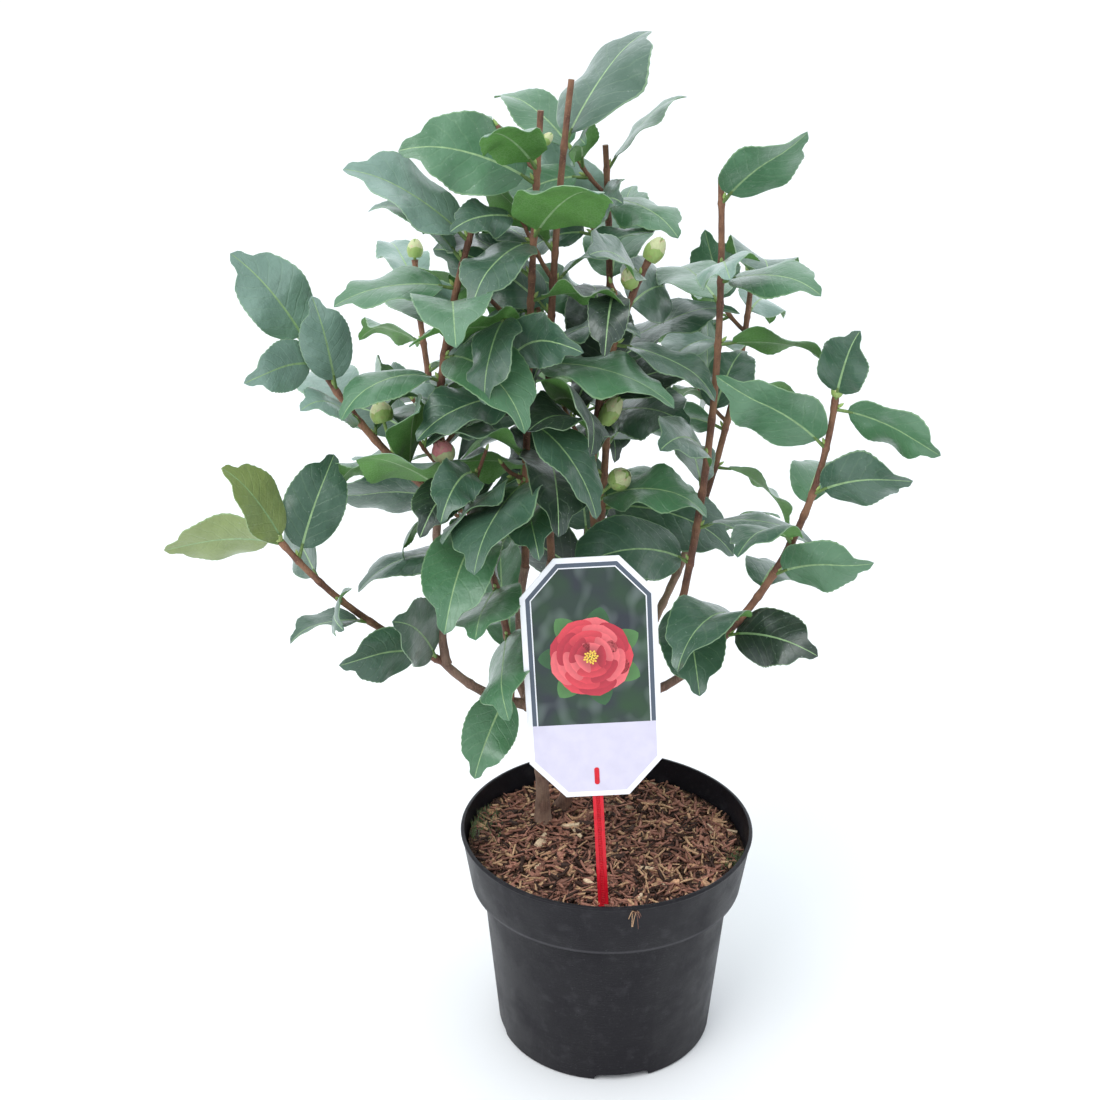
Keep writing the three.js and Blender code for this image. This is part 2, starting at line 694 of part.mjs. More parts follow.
const camellia = new THREE.Group();
camellia.add(mesh("pot", pot(), FINISH.pot));
camellia.add(mesh("soil", soil(), FINISH.soil));
camellia.add(mesh("label_card", cardWithSlot(), FINISH.card));
camellia.add(mesh("label_stick", stick(), FINISH.stick));
take(card(GAP + GROWTH.clear));
camellia.add(...limbs());
camellia.add(...masses());

export default camellia;
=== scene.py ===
import bisect
import functools
import math
import random
from types import SimpleNamespace as Sizes
from typing import NamedTuple

import bmesh
import bpy
from bpy.props import FloatProperty, FloatVectorProperty, IntProperty, PointerProperty
from mathutils import Matrix, Quaternion, Vector, noise
from mathutils.bvhtree import BVHTree


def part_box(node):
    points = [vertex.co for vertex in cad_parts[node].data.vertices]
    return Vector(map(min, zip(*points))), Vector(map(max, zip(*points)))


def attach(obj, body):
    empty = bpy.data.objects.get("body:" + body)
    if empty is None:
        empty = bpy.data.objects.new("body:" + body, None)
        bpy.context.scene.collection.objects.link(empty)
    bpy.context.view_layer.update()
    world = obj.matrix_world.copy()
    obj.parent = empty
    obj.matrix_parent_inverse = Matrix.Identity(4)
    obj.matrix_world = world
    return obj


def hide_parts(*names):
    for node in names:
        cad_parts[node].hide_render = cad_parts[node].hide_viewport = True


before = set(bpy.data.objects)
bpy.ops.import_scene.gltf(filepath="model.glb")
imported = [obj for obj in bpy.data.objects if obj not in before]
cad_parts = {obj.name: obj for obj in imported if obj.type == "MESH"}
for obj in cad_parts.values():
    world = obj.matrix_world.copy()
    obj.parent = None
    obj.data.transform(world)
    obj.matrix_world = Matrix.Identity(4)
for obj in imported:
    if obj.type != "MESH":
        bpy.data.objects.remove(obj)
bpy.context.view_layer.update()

bl_info = {
    "name": "Potted camellia",
    "version": (1, 0, 0),
    "blender": (4, 5, 0),
    "location": "View3D > Sidebar > Camellia",
    "description": "A young camellia in its nursery pot, grown by a seeded rule on the frame's limbs",
    "category": "Add Mesh",
}

# Every size below is in millimetres, unless its name or comment says otherwise. Pieces are modelled
# in millimetres and turned to metres as they are finished.
MM = 0.001
BODY = "root"
GAP = 0.3
WELD = 1e-3

POT_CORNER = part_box("pot")[1]
RIM_RADIUS = POT_CORNER.x / MM
POT_HEIGHT = POT_CORNER.z / MM
SOIL_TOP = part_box("soil")[1].z / MM

# ---- Sizes of the plant, as the source of the solids has them ----

STEM_FOOT = SOIL_TOP - 4
FOOT = Sizes(flare=3.6, fade=9.0)
CURVE_DIVISIONS = 200
LIMB_SIDES = 8
LIMB_STEPS = 6
ROOTED_STEPS = 12
SHOOT_SIDES = 5
SHOOT_STEPS = 8
SHOOT_RADIUS = (2.5, 1.8)
LEAF = Sizes(
    petiole=8.0, petiole_half=1.1, thick=0.021, half_width=0.28, fold=15.0, skew=0.82,
    fullness=0.85, steps=8, rings=(2, 4, 6), sink=1.4,
)
GROWTH = Sizes(
    length_least=0.74, length_play=0.44, spread_foot=70.0, spread_loss=18.0, spread_play=40.0,
    turn_play=50.0, droop_least=0.16, droop_play=1.28, aimed_droop=0.6, roll_play=90.0,
    place_play=6.0, aimed_room=7.0, clear=0.5, retries=(0, 22, -22, 44, -44), leaf_seeds=100,
)
CHANCE = Sizes(factor=16807, limit=2147483647, stride=7919, start=104729, warm_up=3)
BUD_ROOM = Sizes(
    foot=0.225, sink=1.0, stalk_radius=1.1, sides=6, steps=4, stalk_sides=3, stalk_steps=1
)
CARD = Sizes(width=80.0, height=151.0, thick=0.8, corner_wide=21.0, corner_high=23.0)
CARD_PLACE = Sizes(x=-12.0, y=-57.0, z=285.4, lean_back=6.0, lean_side=3.1)
SLOT_BELOW = 62.3
TONGUE = Sizes(width=3.0, height=11.0, thick=2.6, round=1.35)
STICK = Sizes(width=6.4, thick=2.2, length=116.0, lap=18.0)

# Trunk, second stem and boughs: start, end, bow (how far the middle is pushed out), radii at the
# start and the end.
LIMBS = {
  "trunk": ([-42, 25, STEM_FOOT], [-50, 18, 232], [3, 0, 0], 4.6, 3.9),
  "second_stem": ([-31, 44, STEM_FOOT], [2, 26, 236], [2, 0, 0], 4, 3.3),
  "bough_leader": ([-50, 18, 232], [-36, 20, 328], [-2, 0, 0], 3.4, 2.7),
  "bough_front": ([-49, 18, 240], [-52, 0, 333], [-5, -3, 0], 3, 2.6),
  "bough_left": ([-50, 18, 228], [-104, 0, 268], [-2, 0, -6], 3.2, 2.7),
  "bough_left_rise": ([-102, 0, 267], [-104, 0, 378], [-3, 0, 0], 2.7, 2.5),
  "bough_middle": ([2, 26, 236], [-8, 10, 343], [2, 0, 0], 3, 2.6),
  "bough_right": ([3, 25, 232], [45, 10, 303], [0, 0, -3], 3, 2.6),
  "bough_low_right": ([2, 26, 224], [60, -10, 279], [4, -3, -4], 2.9, 2.5),
  "bough_back": ([1, 28, 234], [-4, 62, 338], [0, 6, 0], 2.9, 2.5),
  "bough_back_left": ([-50, 20, 224], [-85, 85, 298], [0, 2, -4], 2.9, 2.5),
  "bough_back_right": ([2, 29, 226], [55, 90, 308], [2, 3, -4], 2.9, 2.5),
  "bough_back_low": ([-27, 42, 160], [-10, 90, 258], [0, 8, -4], 2.9, 2.5),
}
ROOTED = ("trunk", "second_stem")


class Rule(NamedTuple):
    """How leaves stand on a shoot: every `every` mm from `first` on, the last `bare` mm excepted, and
    round the stem by `step` degrees from `turn` on."""

    first: float
    every: float
    bare: float
    turn: float
    step: float
    length: float
    seed: int


class Aimed(NamedTuple):
    """A leaf that draws the crown's outline, by the place of its tip."""

    at: float
    tip: list
    roll: float


class Bud(NamedTuple):
    """A bud on a stalk, `at` mm along its shoot."""

    at: float
    turn: float
    spread: float
    stalk: float
    length: float
    radius: float


# Leafy shoots. An axis is a start, an end and a bow.
SHOOTS = {
  "leaves_leader": {
    "axis": ([-36, 20, 328], [-25, 20, 619], [-6, 0, 0]),
    "rule": Rule(66, 18, 84, 260, 200, 74, 163),
    "aimed": [Aimed(255, [18, 73, 646], 169)],
    "buds": [Bud(127, 160, 30, 46, 12, 4)],
  },
  "leaves_front": {
    "axis": ([-52, 0, 333], [-42, 0, 605], [-2, 0, 0]),
    "rule": Rule(30, 19, 44, 255, 170, 74, 523),
    "aimed": [
      Aimed(232, [-118, -20, 592], -70), Aimed(240, [-71, -45, 604], 30),
      Aimed(55, [-82, -90, 370], -158), Aimed(202, [-12, -69, 580], -14),
    ],
    "buds": [Bud(252, 0, 40, 3, 8, 2.6)],
  },
  "leaves_middle": {
    "axis": ([-8, 10, 343], [20, 10, 521], [-14, 0, 0]),
    "rule": Rule(26, 21, 4, 320, 140, 70, 427),
    "aimed": [],
    "buds": [
      Bud(180, 0, 6, 2, 15, 5), Bud(160, 200, 35, 5, 12, 4.5), Bud(70, 340, 25, 12, 19, 5),
      Bud(30, 330, 50, 20, 13, 6),
    ],
  },
  "leaves_back": {
    "axis": ([-4, 62, 338], [-4, 70, 575], [4, 5, 0]),
    "rule": Rule(10, 20, 14, 345, 220, 74, 920),
    "aimed": [
      Aimed(222, [41, 85, 607], -20), Aimed(205, [38, 20, 532], 0),
    ],
    "buds": [],
  },
  "leaves_left": {
    "axis": ([-104, 0, 378], [-77, 0, 551], [-8, 0, 0]),
    "rule": Rule(6, 14, 20, 210, 140, 74, 932),
    "aimed": [
      Aimed(157, [-148, -15, 581], -30), Aimed(129, [-160, -20, 502], -10),
    ],
    "buds": [],
  },
  "leaves_outer_left": {
    "axis": ([-104, 0, 378], [-182, 20, 471], [-5, 0, -5]),
    "rule": Rule(20, 14, 20, 255, 225, 70, 327),
    "aimed": [
      Aimed(118, [-216, 4, 527], 10), Aimed(106, [-205, -30, 459], 60),
      Aimed(64, [-175, -35, 452], 90),
    ],
    "buds": [
      Bud(122, 0, 5, 2, 9, 3.6), Bud(34, 0, 30, 24, 13, 6),
    ],
  },
  "leaves_low_left": {
    "axis": ([-104, 0, 268], [-197, -20, 358], [-6, 0, -5]),
    "rule": Rule(7, 18, 30, 355, 170, 68, 991),
    "aimed": [
      Aimed(127, [-221, -40, 414], -10), Aimed(130, [-264, -35, 357], -120),
      Aimed(115, [-166, 10, 404], -110), Aimed(54, [-195, -35, 302], -30),
      Aimed(12, [-160, -50, 290], 10),
    ],
    "buds": [Bud(131, 0, 5, 2, 7, 2.4)],
  },
  "leaves_inner_left": {
    "axis": ([-62, 13, 236], [-101, -10, 412], [12, 0, -8]),
    "rule": Rule(31, 17, 4, 80, 180, 74, 116),
    "aimed": [Aimed(8, [-84, -30, 200], -20)],
    "buds": [Bud(174, 0, 5, 2, 13, 6)],
  },
  "leaves_right": {
    "axis": ([45, 10, 303], [59, 10, 567], [8, 0, 0]),
    "rule": Rule(6, 23, 30, 65, 140, 74, 490),
    "aimed": [
      Aimed(250, [100, -30, 594], -40), Aimed(205, [113, -35, 515], 10),
      Aimed(3, [52, -55, 272], -172),
    ],
    "buds": [],
  },
  "leaves_low_right": {
    "axis": ([60, -10, 279], [125, -30, 451], [14, 0, -8]),
    "rule": Rule(10, 20, 30, 15, 225, 70, 775),
    "aimed": [
      Aimed(185, [128, -60, 497], -30), Aimed(181, [181, -55, 421], -60),
      Aimed(126, [166, -60, 411], -70), Aimed(156, [58, -45, 462], 60),
      Aimed(68, [147, -55, 355], -60), Aimed(17, [120, -55, 301], 80),
    ],
    "buds": [Bud(187, 0, 5, 2, 8, 3)],
  },
  "leaves_back_left": {
    "axis": ([-85, 85, 298], [-125, 140, 490], [-8, 8, 0]),
    "rule": Rule(6, 18, 3, 220, 170, 74, 459),
    "aimed": [],
    "buds": [Bud(205, 0, 5, 2, 12, 4.5)],
  },
  "leaves_back_right": {
    "axis": ([55, 90, 308], [95, 140, 480], [8, 8, 0]),
    "rule": Rule(6, 25, 3, 325, 200, 74, 773),
    "aimed": [],
    "buds": [Bud(184, 0, 5, 2, 12, 4.5)],
  },
  "leaves_back_low": {
    "axis": ([-10, 90, 258], [-15, 165, 420], [0, 12, -4]),
    "rule": Rule(6, 17, 3, 340, 220, 74, 377),
    "aimed": [],
    "buds": [Bud(180, 0, 5, 2, 12, 4.5)],
  },
}
PRUNED = ("leaves_leader", "leaves_front", "leaves_back", "leaves_right")
YOUNG = {"leaves_low_left": (0, 1)}  # aimed leaves that are this spring's, and still olive
OPENING_BUD = "leaves_inner_left"  # its end bud shows petals

# ---- Sizes of what only the looks have ----

# Places along a shoot, counted from its foot, that carry no fine twig: the crown is open there.
OPEN_PLACES = {
    "leaves_leader": (6, 7),
    "leaves_front": (6,),
    "leaves_back": (0,),
    "leaves_left": (1,),
    "leaves_outer_left": (1, 2),
    "leaves_low_left": (0, 1, 2),
    "leaves_right": (0, 1, 2, 4, 5, 6),
    "leaves_low_right": (0, 1, 2, 3, 4),
    "leaves_back_left": (3, 4),
    "leaves_back_right": (0, 1),
}
SMOOTH_BELOW = math.radians(40)  # edges of a plate that are flatter than this are smooth
BLADE_ROWS = 32  # along the leaf; every second one is a tooth of the margin
BLADE_COLUMNS = (-1.0, -0.72, -0.4, -0.1, 0.1, 0.4, 0.72, 1.0)  # across it, as shares of its half
RIB_COLUMN = 0.1
SCALE_COLUMNS = (-1.0, -0.5, 0.0, 0.5, 1.0)
SCALE_ROWS = 5
PETAL_COLUMNS = tuple(column / 4 - 1 for column in range(9))
PETAL_ROWS = 14
UV_NAME = "Blade"
FINE_TWIG = Sizes(
    first=30.0, every=30.0, bare=26.0, spread=44.0, spread_play=26.0, length=24.0, length_play=22.0,
    rise=3.0, radius=(1.5, 1.1), leaf_length=58.0, leaf_from=0.45, leaf_every=7.5, leaf_step=137.0,
    seeds=50, room_from=6.0, room_sides=4, room_steps=2, edge=1.0,
)
BLADE = Sizes(
    fullness=0.62, curl_from=0.62, rib_foot=0.8, rib_tip=0.2, point_from=0.8, point_loss=0.42,
    groove=0.15, keel=0.3, wave_power=1.5, wave_ends=0.5, point_power=0.7,
)  # the blade's outline is fuller than the solids', with a short drawn-out point
LIGHT = (0.0, -0.75, 0.65)  # where the leaves' upper sides turn to
TURNED_FROM = -0.12  # a leaf that faces further from the light than this is the other way up
VEIN = Sizes(pairs=8.0, sweep=4.5, wander=0.35, width=0.1, margin=0.485)
STALK = Sizes(overlap=3.0, sag=0.3, foot=1.3, tip=0.95, sides=6, steps=3)
LEAF_MATERIALS = (
    "dark", "mid", "grey", "fresh", "under", "rib", "stalk", "young_upper", "young_under",
)
# The share of the leaves of each green, from those deep in the crown to those furthest out. Dealing the
# dark green inside and the grey green outside paints shade into the crown and sheen onto its outer
# leaves.
LEAF_SHADES = (("dark", 0.3), ("mid", 0.28), ("fresh", 0.17), ("grey", 0.25))
CROWN = Sizes(middle=(-20.0, 25.0, 380.0), reach=240.0, sorting=0.4)
# How far the greens of a spray lean to the pale ones, or below 0 to the dark ones.
SPRAY_LEAN = {
    "leaves_leader": -0.2,
    "leaves_front": -0.12,
    "leaves_left": 0.35,
    "leaves_outer_left": 0.45,
    "leaves_low_right": -0.18,
}
SHADE_SEEDS = 1300021
AIMED = Sizes(seeds=60, calm=0.8, widen=1.15)  # the leaves that draw the outline: calmer, broader
# What each leaf's looks are drawn between. wave and fold are shares of their settings, offset is in
# half turns, recurve is a share of the leaf's half width, and curl of its length.
LOOK = Sizes(
    wave=(0.35, 1.65), waves=(0.9, 2.2), offset=(0.2, 1.3), fold=(0.5, 1.5), recurve=(0.05, 0.45),
    curl=(0.03, 0.18),
)
TWIG_SEEDS = 20
BARK = Sizes(
    ridges=3.0, ridge_length=22.0, lump_length=6.0, node_length=1.8, node_swell=0.5, limb_sides=16,
    limb_step=2.5, shoot_sides=10, shoot_step=2.5, twig_sides=6, collar=1.2, collar_length=5.0,
    young_relief=0.5,
)
LIMB_NODES = (21.0, 46.0, 74.0, 97.0)  # old leaf scars, in mm along each limb
BUD = Sizes(
    fullness=0.65, sides=10, steps=8, rings=((0.0, 0.45), (0.15, 0.45), (0.32, 0.46), (0.5, 0.48)),
    scales=4, point=2.2, half_angle=math.radians(58), lift=0.09, thick=0.35, stalk_sides=6,
    stalk_steps=3,
)
AXIL = Sizes(radius=1.1, length=4.5, out=2.2, up=1.5, sides=6, steps=4)

# Among the pot's sizes are the width of the painted highlight along the band's foot, and in shaded the
# height of the painted shadow under the band.
POT = Sizes(
    band_radius=88.8, neck_radius=81.2, foot_radius=71.4, band_foot=112.0, ledge_foot=109.0,
    lip=2.4, lip_turn=0.8, lip_round=0.7, wall=1.6, pad_radius=44.0, under_rise=5.0,
    under_slope=2.0, skirt=3.4, chamfer=1.1, segments=128, rounding=0.35, sharp_from=18, worn=1.3,
    shaded=5.0, wobble=0.35, wobble_size=60.0,
)
NOTCH = Sizes(count=4, width=36.0, height=4.6, depth=16.0, turn=-82, round=3.5)
MULCH = Sizes(
    clear=0.4, below=2.6, lump=2.2, lump_size=24.0, crumb=0.9, crumb_size=5.0, heap=3.0,
    heap_size=26.0, heap_x=-38.0, heap_y=32.0, bank=6.5, bank_reach=86.0, rings=36, segments=128,
    seed=53, seed_room=90.0, rough=0.22,
)
CHIP = Sizes(
    length=(4.0, 11.0), width=(0.2, 0.5), thick=(0.8, 2.0), large=0.6, large_from=0.88, bend=0.12,
    tilt=0.6, lift=(0.0, 2.6),
)
SHRED = Sizes(
    length=(3.5, 15.0), width=(0.5, 1.7), thick=(0.3, 0.8), bend=0.1, tilt=0.8, lift=(0.3, 3.4),
    sides=3, steps=3,
)
# How chips and shreds lie: the taper of their ends, how much of it slims them, how much of their
# roughness goes along them, and their roll as a share of their tilt.
LAY = Sizes(taper=(0.2, 0.9), slimming=0.6, along=0.3, roll=2.0)
CHIP_SHADES = (("tan", 0.2), ("rust", 0.26), ("brown", 0.24), ("umber", 0.22), ("pale", 0.08))
SHRED_SHADES = (("rust", 0.3), ("straw", 0.2), ("brown", 0.24), ("umber", 0.26))
DARK_PATCHES = Sizes(left=-85.0, right=-35.0, size=34.0, dry=0.85, most=0.66, shade=0.3)
ROOTLET = Sizes(
    count=8, x=14.0, spread=1.6, fan=3.6, inside=5.0, outside=(0.6, 1.8), over=2.0, lift=(0.0, 2.0),
    drop=(3.0, 15.0), radius=(0.16, 0.28), shades=(1, 1, 1, 2), sides=3, steps=10,
)
MOSS = Sizes(
    lean=2.4, height=(3.0, 6.5), radius=0.5, thinning=0.8, bow=0.125, sink=0.6, sides=3, steps=2
)
# Each patch of moss: x, y, spread and count.
MOSS_PATCHES = ((-84, 8, 6, 160), (-80, 28, 6, 120), (84, -22, 5, 120), (30, -84, 4, 30))

PRINT = Sizes(
    margin=3.3, band=2.6, line=0.7, film=0.05, sunk=0.3, corner_loss=0.6, corner_trim=1.8,
    strip_top=-28.3, rounding=0.2, petal_skew=1.7, petal_foot=0.08, petal_fullness=0.7,
    petal_thick=0.9,
)
FLOWER = Sizes(
    height=14.0, leaves=7, leaf_from=13.0, leaf_length=18.5, leaf_half=7.0, rings=5, radius=25.0,
    closing=0.8, petals=9, overlap=1.35, stamens=26, spiral=0.382, middle=4.2, dot=0.75,
    dot_half=0.6, petal_from=0.2, petal_length=0.8, leaf_layer=4, petal_layer=5, dot_layer=12,
)
FLOWER_SHADES = ("coral", "rose", "coral_pale")
PETAL_INKS = ("leaf_ink", "leaf_ink_pale", "coral", "rose", "coral_pale")
CARD_INKS = ("card", "slate", "night", "lavender", *PETAL_INKS, "yellow")
RIB = Sizes(flange=2.1, depth=0.7, every=1.2, thick=0.5, rounding=0.1, height=0.98, sunk=0.14)

CAMERA = Sizes(place=(-36.9, -930.0, 737.5), tilt=67.06, lens=54.33, sensor=36.0)
FLOOR = Sizes(half=15000.0, depth=20.0, seam=2.0)
LAMP = Sizes(place=(-1100.0, -1300.0, 1900.0), aim=(0.0, 0.0, 2 * POT_HEIGHT), size=1400.0)
SKY = Sizes(towards=(0.0, 0.7, 0.71), darkest=-0.7)  # the air is brightest above and behind
LOOK_SEEDS = 7000003  # keeps the draws for a leaf's looks apart from those for its shape


# ---- The rule that the plant grows by, as in the source ----


def chance(seed):
    """Seeded chance: Park and Miller's generator, each draw between 0 and 1."""
    state = (seed * CHANCE.stride + CHANCE.start) % CHANCE.limit

    def draw():
        nonlocal state
        state = state * CHANCE.factor % CHANCE.limit
        return state / CHANCE.limit

    for _ in range(CHANCE.warm_up):
        draw()
    return draw


def lerp(a, b, share):
    return a + (b - a) * share


class Spot(NamedTuple):
    """A place on a curve, with the directions along it, across it and round it."""

    point: Vector
    along: Vector
    across: Vector
    round: Vector


class Curve:
    """A quadratic curve whose middle is pushed out by bow. Places on it are given in mm."""

    def __init__(self, start, end, bow=(0, 0, 0)):
        self.start = Vector(start)
        self.end = Vector(end)
        self.control = (self.start + self.end) / 2 + 2 * Vector(bow)
        points = [self.point(i / CURVE_DIVISIONS) for i in range(CURVE_DIVISIONS + 1)]
        self.marks = [0.0]
        for before, after in zip(points, points[1:]):
            self.marks.append(self.marks[-1] + (after - before).length)
        self.length = self.marks[-1]
        self.known = {}

    def point(self, share):
        rest = 1 - share
        return rest * rest * self.start + 2 * rest * share * self.control + share * share * self.end

    def share_at(self, at):
        """The curve's own share at a length along it."""
        if at >= self.length:
            return 1.0
        mark = max(bisect.bisect_right(self.marks, at) - 1, 0)
        between = (at - self.marks[mark]) / (self.marks[mark + 1] - self.marks[mark])
        return (mark + between) / CURVE_DIVISIONS

    def spot(self, at):
        if at not in self.known:
            inside = min(max(at, 0.0), self.length)
            share = self.share_at(inside)
            along = (1 - share) * (self.control - self.start) + share * (self.end - self.control)
            along.normalize()
            point = self.point(share) + along * (at - inside)
            across = Vector((1, 0, 0))
            across -= along * across.dot(along)
            across.normalize()
            self.known[at] = Spot(point, along, across, along.cross(across))
        return self.known[at]


class Leaf(NamedTuple):
    at: float
    root: Vector
    along: Vector
    heading: Vector
    length: float
    droop: float
    roll: float


class Ring(NamedTuple):
    """One ring of the room that a leaf needs."""

    centre: Vector
    side: Vector
    direction: Vector
    half: float = 0.0
    thick: float = 0.0
    fold: float = 0.0

    def shifted(self, by):
        return self._replace(centre=self.centre + self.direction * by, half=0.0, thick=0.0, fold=0.0)


def midrib(leaf):
    """The midrib's stations, from the blade's foot to its tip."""
    direction = leaf.heading.copy()
    side = direction.cross(leaf.along).normalized()
    side.rotate(Quaternion(direction, math.radians(leaf.roll)))
    centre = leaf.root + direction * LEAF.petiole
    stations = [Ring(centre.copy(), side.copy(), direction.copy())]
    for _ in range(LEAF.steps):
        direction.z -= leaf.droop / LEAF.steps
        direction.normalize()
        centre += direction * (leaf.length / LEAF.steps)
        level = (side - direction * side.dot(direction)).normalized()
        stations.append(Ring(centre.copy(), level, direction.copy()))
    return stations


def blade_shape(share):
    """Half the blade's width, as a share of its widest, at a share of the way from foot to tip."""
    return max(math.sin(math.pi * share**LEAF.skew), 0.0) ** LEAF.fullness


def aimed_leaf(curve, aimed):
    """A leaf whose tip lies where the crown's outline needs it."""
    spot = curve.spot(aimed.at)
    reach = Vector(aimed.tip) - spot.point
    heading = reach.normalized()
    heading.z += GROWTH.aimed_droop / 2
    heading.normalize()
    length = reach.length - LEAF.petiole
    return Leaf(
        aimed.at, spot.point, spot.along, heading, length, GROWTH.aimed_droop, aimed.roll
    )


def headed(spot, spread, turn):
    """The direction that leaves a curve by `spread`, `turn` round it, both in radians."""
    aside = spot.across * math.cos(turn) + spot.round * math.sin(turn)
    return spot.along * math.cos(spread) + aside * math.sin(spread)


def ruled_leaf(curve, rule, index, shift):
    """The leaf that the rule gives at one place of a shoot, turned `shift` degrees round the stem."""
    draw = chance(rule.seed * GROWTH.leaf_seeds + index)

    def play(extent):
        return (draw() - 0.5) * extent

    at = rule.first + index * rule.every + play(GROWTH.place_play)
    turn = rule.turn + index * rule.step + play(GROWTH.turn_play) + shift
    spread = GROWTH.spread_foot - GROWTH.spread_loss * at / curve.length + play(GROWTH.spread_play)
    length = rule.length * (GROWTH.length_least + GROWTH.length_play * draw())
    droop = GROWTH.droop_least + GROWTH.droop_play * draw()
    roll = play(GROWTH.roll_play)
    spot = curve.spot(at)
    heading = headed(spot, math.radians(spread), math.radians(turn))
    return Leaf(at, spot.point, spot.along, heading, length, droop, roll)


# ---- The room that each piece of the plant takes ----


def lens_room(rings):
    """A four-sided lens through the rings, pinched shut at both ends, for touch tests."""
    last = len(rings) - 1
    bm = bmesh.new()
    bmesh.ops.create_uvsphere(bm, u_segments=4, v_segments=last, radius=1)
    for vert in bm.verts:
        polar = math.acos(min(max(vert.co.z, -1.0), 1.0))
        ring = rings[round(polar / math.pi * last)]
        size = max(math.sin(polar), WELD)
        across = round(vert.co.x / size) * ring.half
        lift = round(vert.co.y / size) * ring.thick
        fold = math.radians(ring.fold)
        up = ring.side.cross(ring.direction)
        rise = abs(across) * math.sin(fold) - lift
        vert.co = ring.centre + ring.side * across * math.cos(fold) + up * rise
    return room_of(bm)


def room_of(bm):
    tree = BVHTree.FromBMesh(bm)
    bm.free()
    return tree


def blade_rings(leaf, stations):
    return [
        stations[step]._replace(
            half=blade_shape(step / LEAF.steps) * leaf.length * LEAF.half_width + GROWTH.clear,
            thick=leaf.length * LEAF.thick / 2 + GROWTH.clear,
            fold=LEAF.fold,
        )
        for step in LEAF.rings
    ]


def blade_room(leaf):
    stations = midrib(leaf)
    return lens_room(
        [stations[0].shifted(0), *blade_rings(leaf, stations), stations[-1].shifted(GROWTH.clear)]
    )


def petiole_room(leaf):
    foot = midrib(leaf)[0]
    size = LEAF.petiole_half + GROWTH.clear
    thick_foot = foot._replace(half=size, thick=size)
    root = thick_foot._replace(centre=leaf.root)
    return lens_room([root.shifted(-LEAF.sink), root, thick_foot, foot.shifted(GROWTH.clear)])


def tube_room(curve, radius_at, sides, steps, grow, start=0.0):
    """The room of a tapering tube from `start` mm on, `grow` mm larger all round."""
    bm = bmesh.new()
    add_tube(bm, sides, steps)
    reach = curve.length - start + 2 * grow
    for vert in bm.verts:
        share = vert.co.z + 0.5
        spot = curve.spot(start - grow + reach * share)
        radius = radius_at(share) + grow
        vert.co = spot.point + (spot.across * vert.co.x - spot.round * vert.co.y) * radius
    return room_of(bm)


def bud_curves(curve, bud):
    """The axes of a bud's body and of its stalk."""
    spot = curve.spot(bud.at)
    heading = headed(spot, math.radians(bud.spread), math.radians(bud.turn))
    foot = spot.point + heading * bud.stalk
    body = Curve(foot, foot + heading * bud.length)
    return body, Curve(spot.point, foot + heading * BUD_ROOM.sink)


def bud_rooms(curve, bud):
    body, stalk = bud_curves(curve, bud)

    def swell(share):
        return bud.radius * math.sin(math.pi * lerp(BUD_ROOM.foot, 1, share))

    def stalk_radius(_share):
        return BUD_ROOM.stalk_radius

    yield tube_room(body, swell, BUD_ROOM.sides, BUD_ROOM.steps, GROWTH.clear)
    yield tube_room(
        stalk, stalk_radius, BUD_ROOM.stalk_sides, BUD_ROOM.stalk_steps, GROWTH.clear
    )


class Crown:
    """What is taken already, so that later pieces keep clear of it."""

    def __init__(self):
        self.taken = []

    def take(self, room, owner=None):
        self.taken.append((room, owner))

    def is_free(self, room, owner=None):
        """Whether a room touches nothing that is taken, leaving out what `owner` has."""
        return not any(
            (owner is None or other_owner != owner) and other.overlap(room)
            for other, other_owner in self.taken
        )

    def take_leaf(self, leaf, owner):
        self.take(blade_room(leaf), owner)
        self.take(petiole_room(leaf), owner)

    def fits(self, leaf, owner):
        return self.is_free(blade_room(leaf)) and self.is_free(petiole_room(leaf), owner)


def limb_curve(name):
    start, end, bow, *_ = LIMBS[name]
    return Curve(start, end, bow)


def limb_radius(name, curve):
    """The radius of a limb at a share of its length, with its root flare."""
    *_, foot, tip = LIMBS[name]
    flare = FOOT.flare if name in ROOTED else 0.0
    return lambda share: lerp(foot, tip, share) + flare * math.exp(-share * curve.length / FOOT.fade)


def shoot_radius(share):
    return lerp(*SHOOT_RADIUS, share)


class Twig(NamedTuple):
    """A side twig, with the leaves at its end."""

    at: float
    curve: Curve
    leaves: list


class Shoot(NamedTuple):
    """One grown shoot."""

    name: str
    curve: Curve
    aimed: list
    ruled: list
    twigs: list


def ruled_leaves(crown, curve, rule, owner, aimed=(), space=None):
    """The leaves by the rule. One that touches what is taken turns a little, or is skipped."""
    leaves = []
    count = int((curve.length - rule.bare - rule.first) / rule.every) + 1
    for index in range(count):
        at = ruled_leaf(curve, rule, index, 0).at
        if any(abs(one.at - at) < GROWTH.aimed_room for one in aimed):
            continue
        for shift in GROWTH.retries:
            leaf = ruled_leaf(curve, rule, index, shift)
            if within(leaf, space) and crown.fits(leaf, owner):
                crown.take_leaf(leaf, owner)
                leaves.append(leaf)
                break
    return leaves


def within(leaf, space):
    """Whether a leaf stays in a mass's space. No space is given for the leaves that the solids have."""
    if space is None:
        return True
    low, high = space
    stations = midrib(leaf)
    middle = stations[LEAF.steps // 2]
    aside = middle.side * leaf.length * LEAF.half_width
    reach = (middle.centre - aside, middle.centre + aside, stations[-1].centre)
    return all(
        low[axis] + FINE_TWIG.edge < point[axis] < high[axis] - FINE_TWIG.edge
        for point in reach
        for axis in range(3)
    )


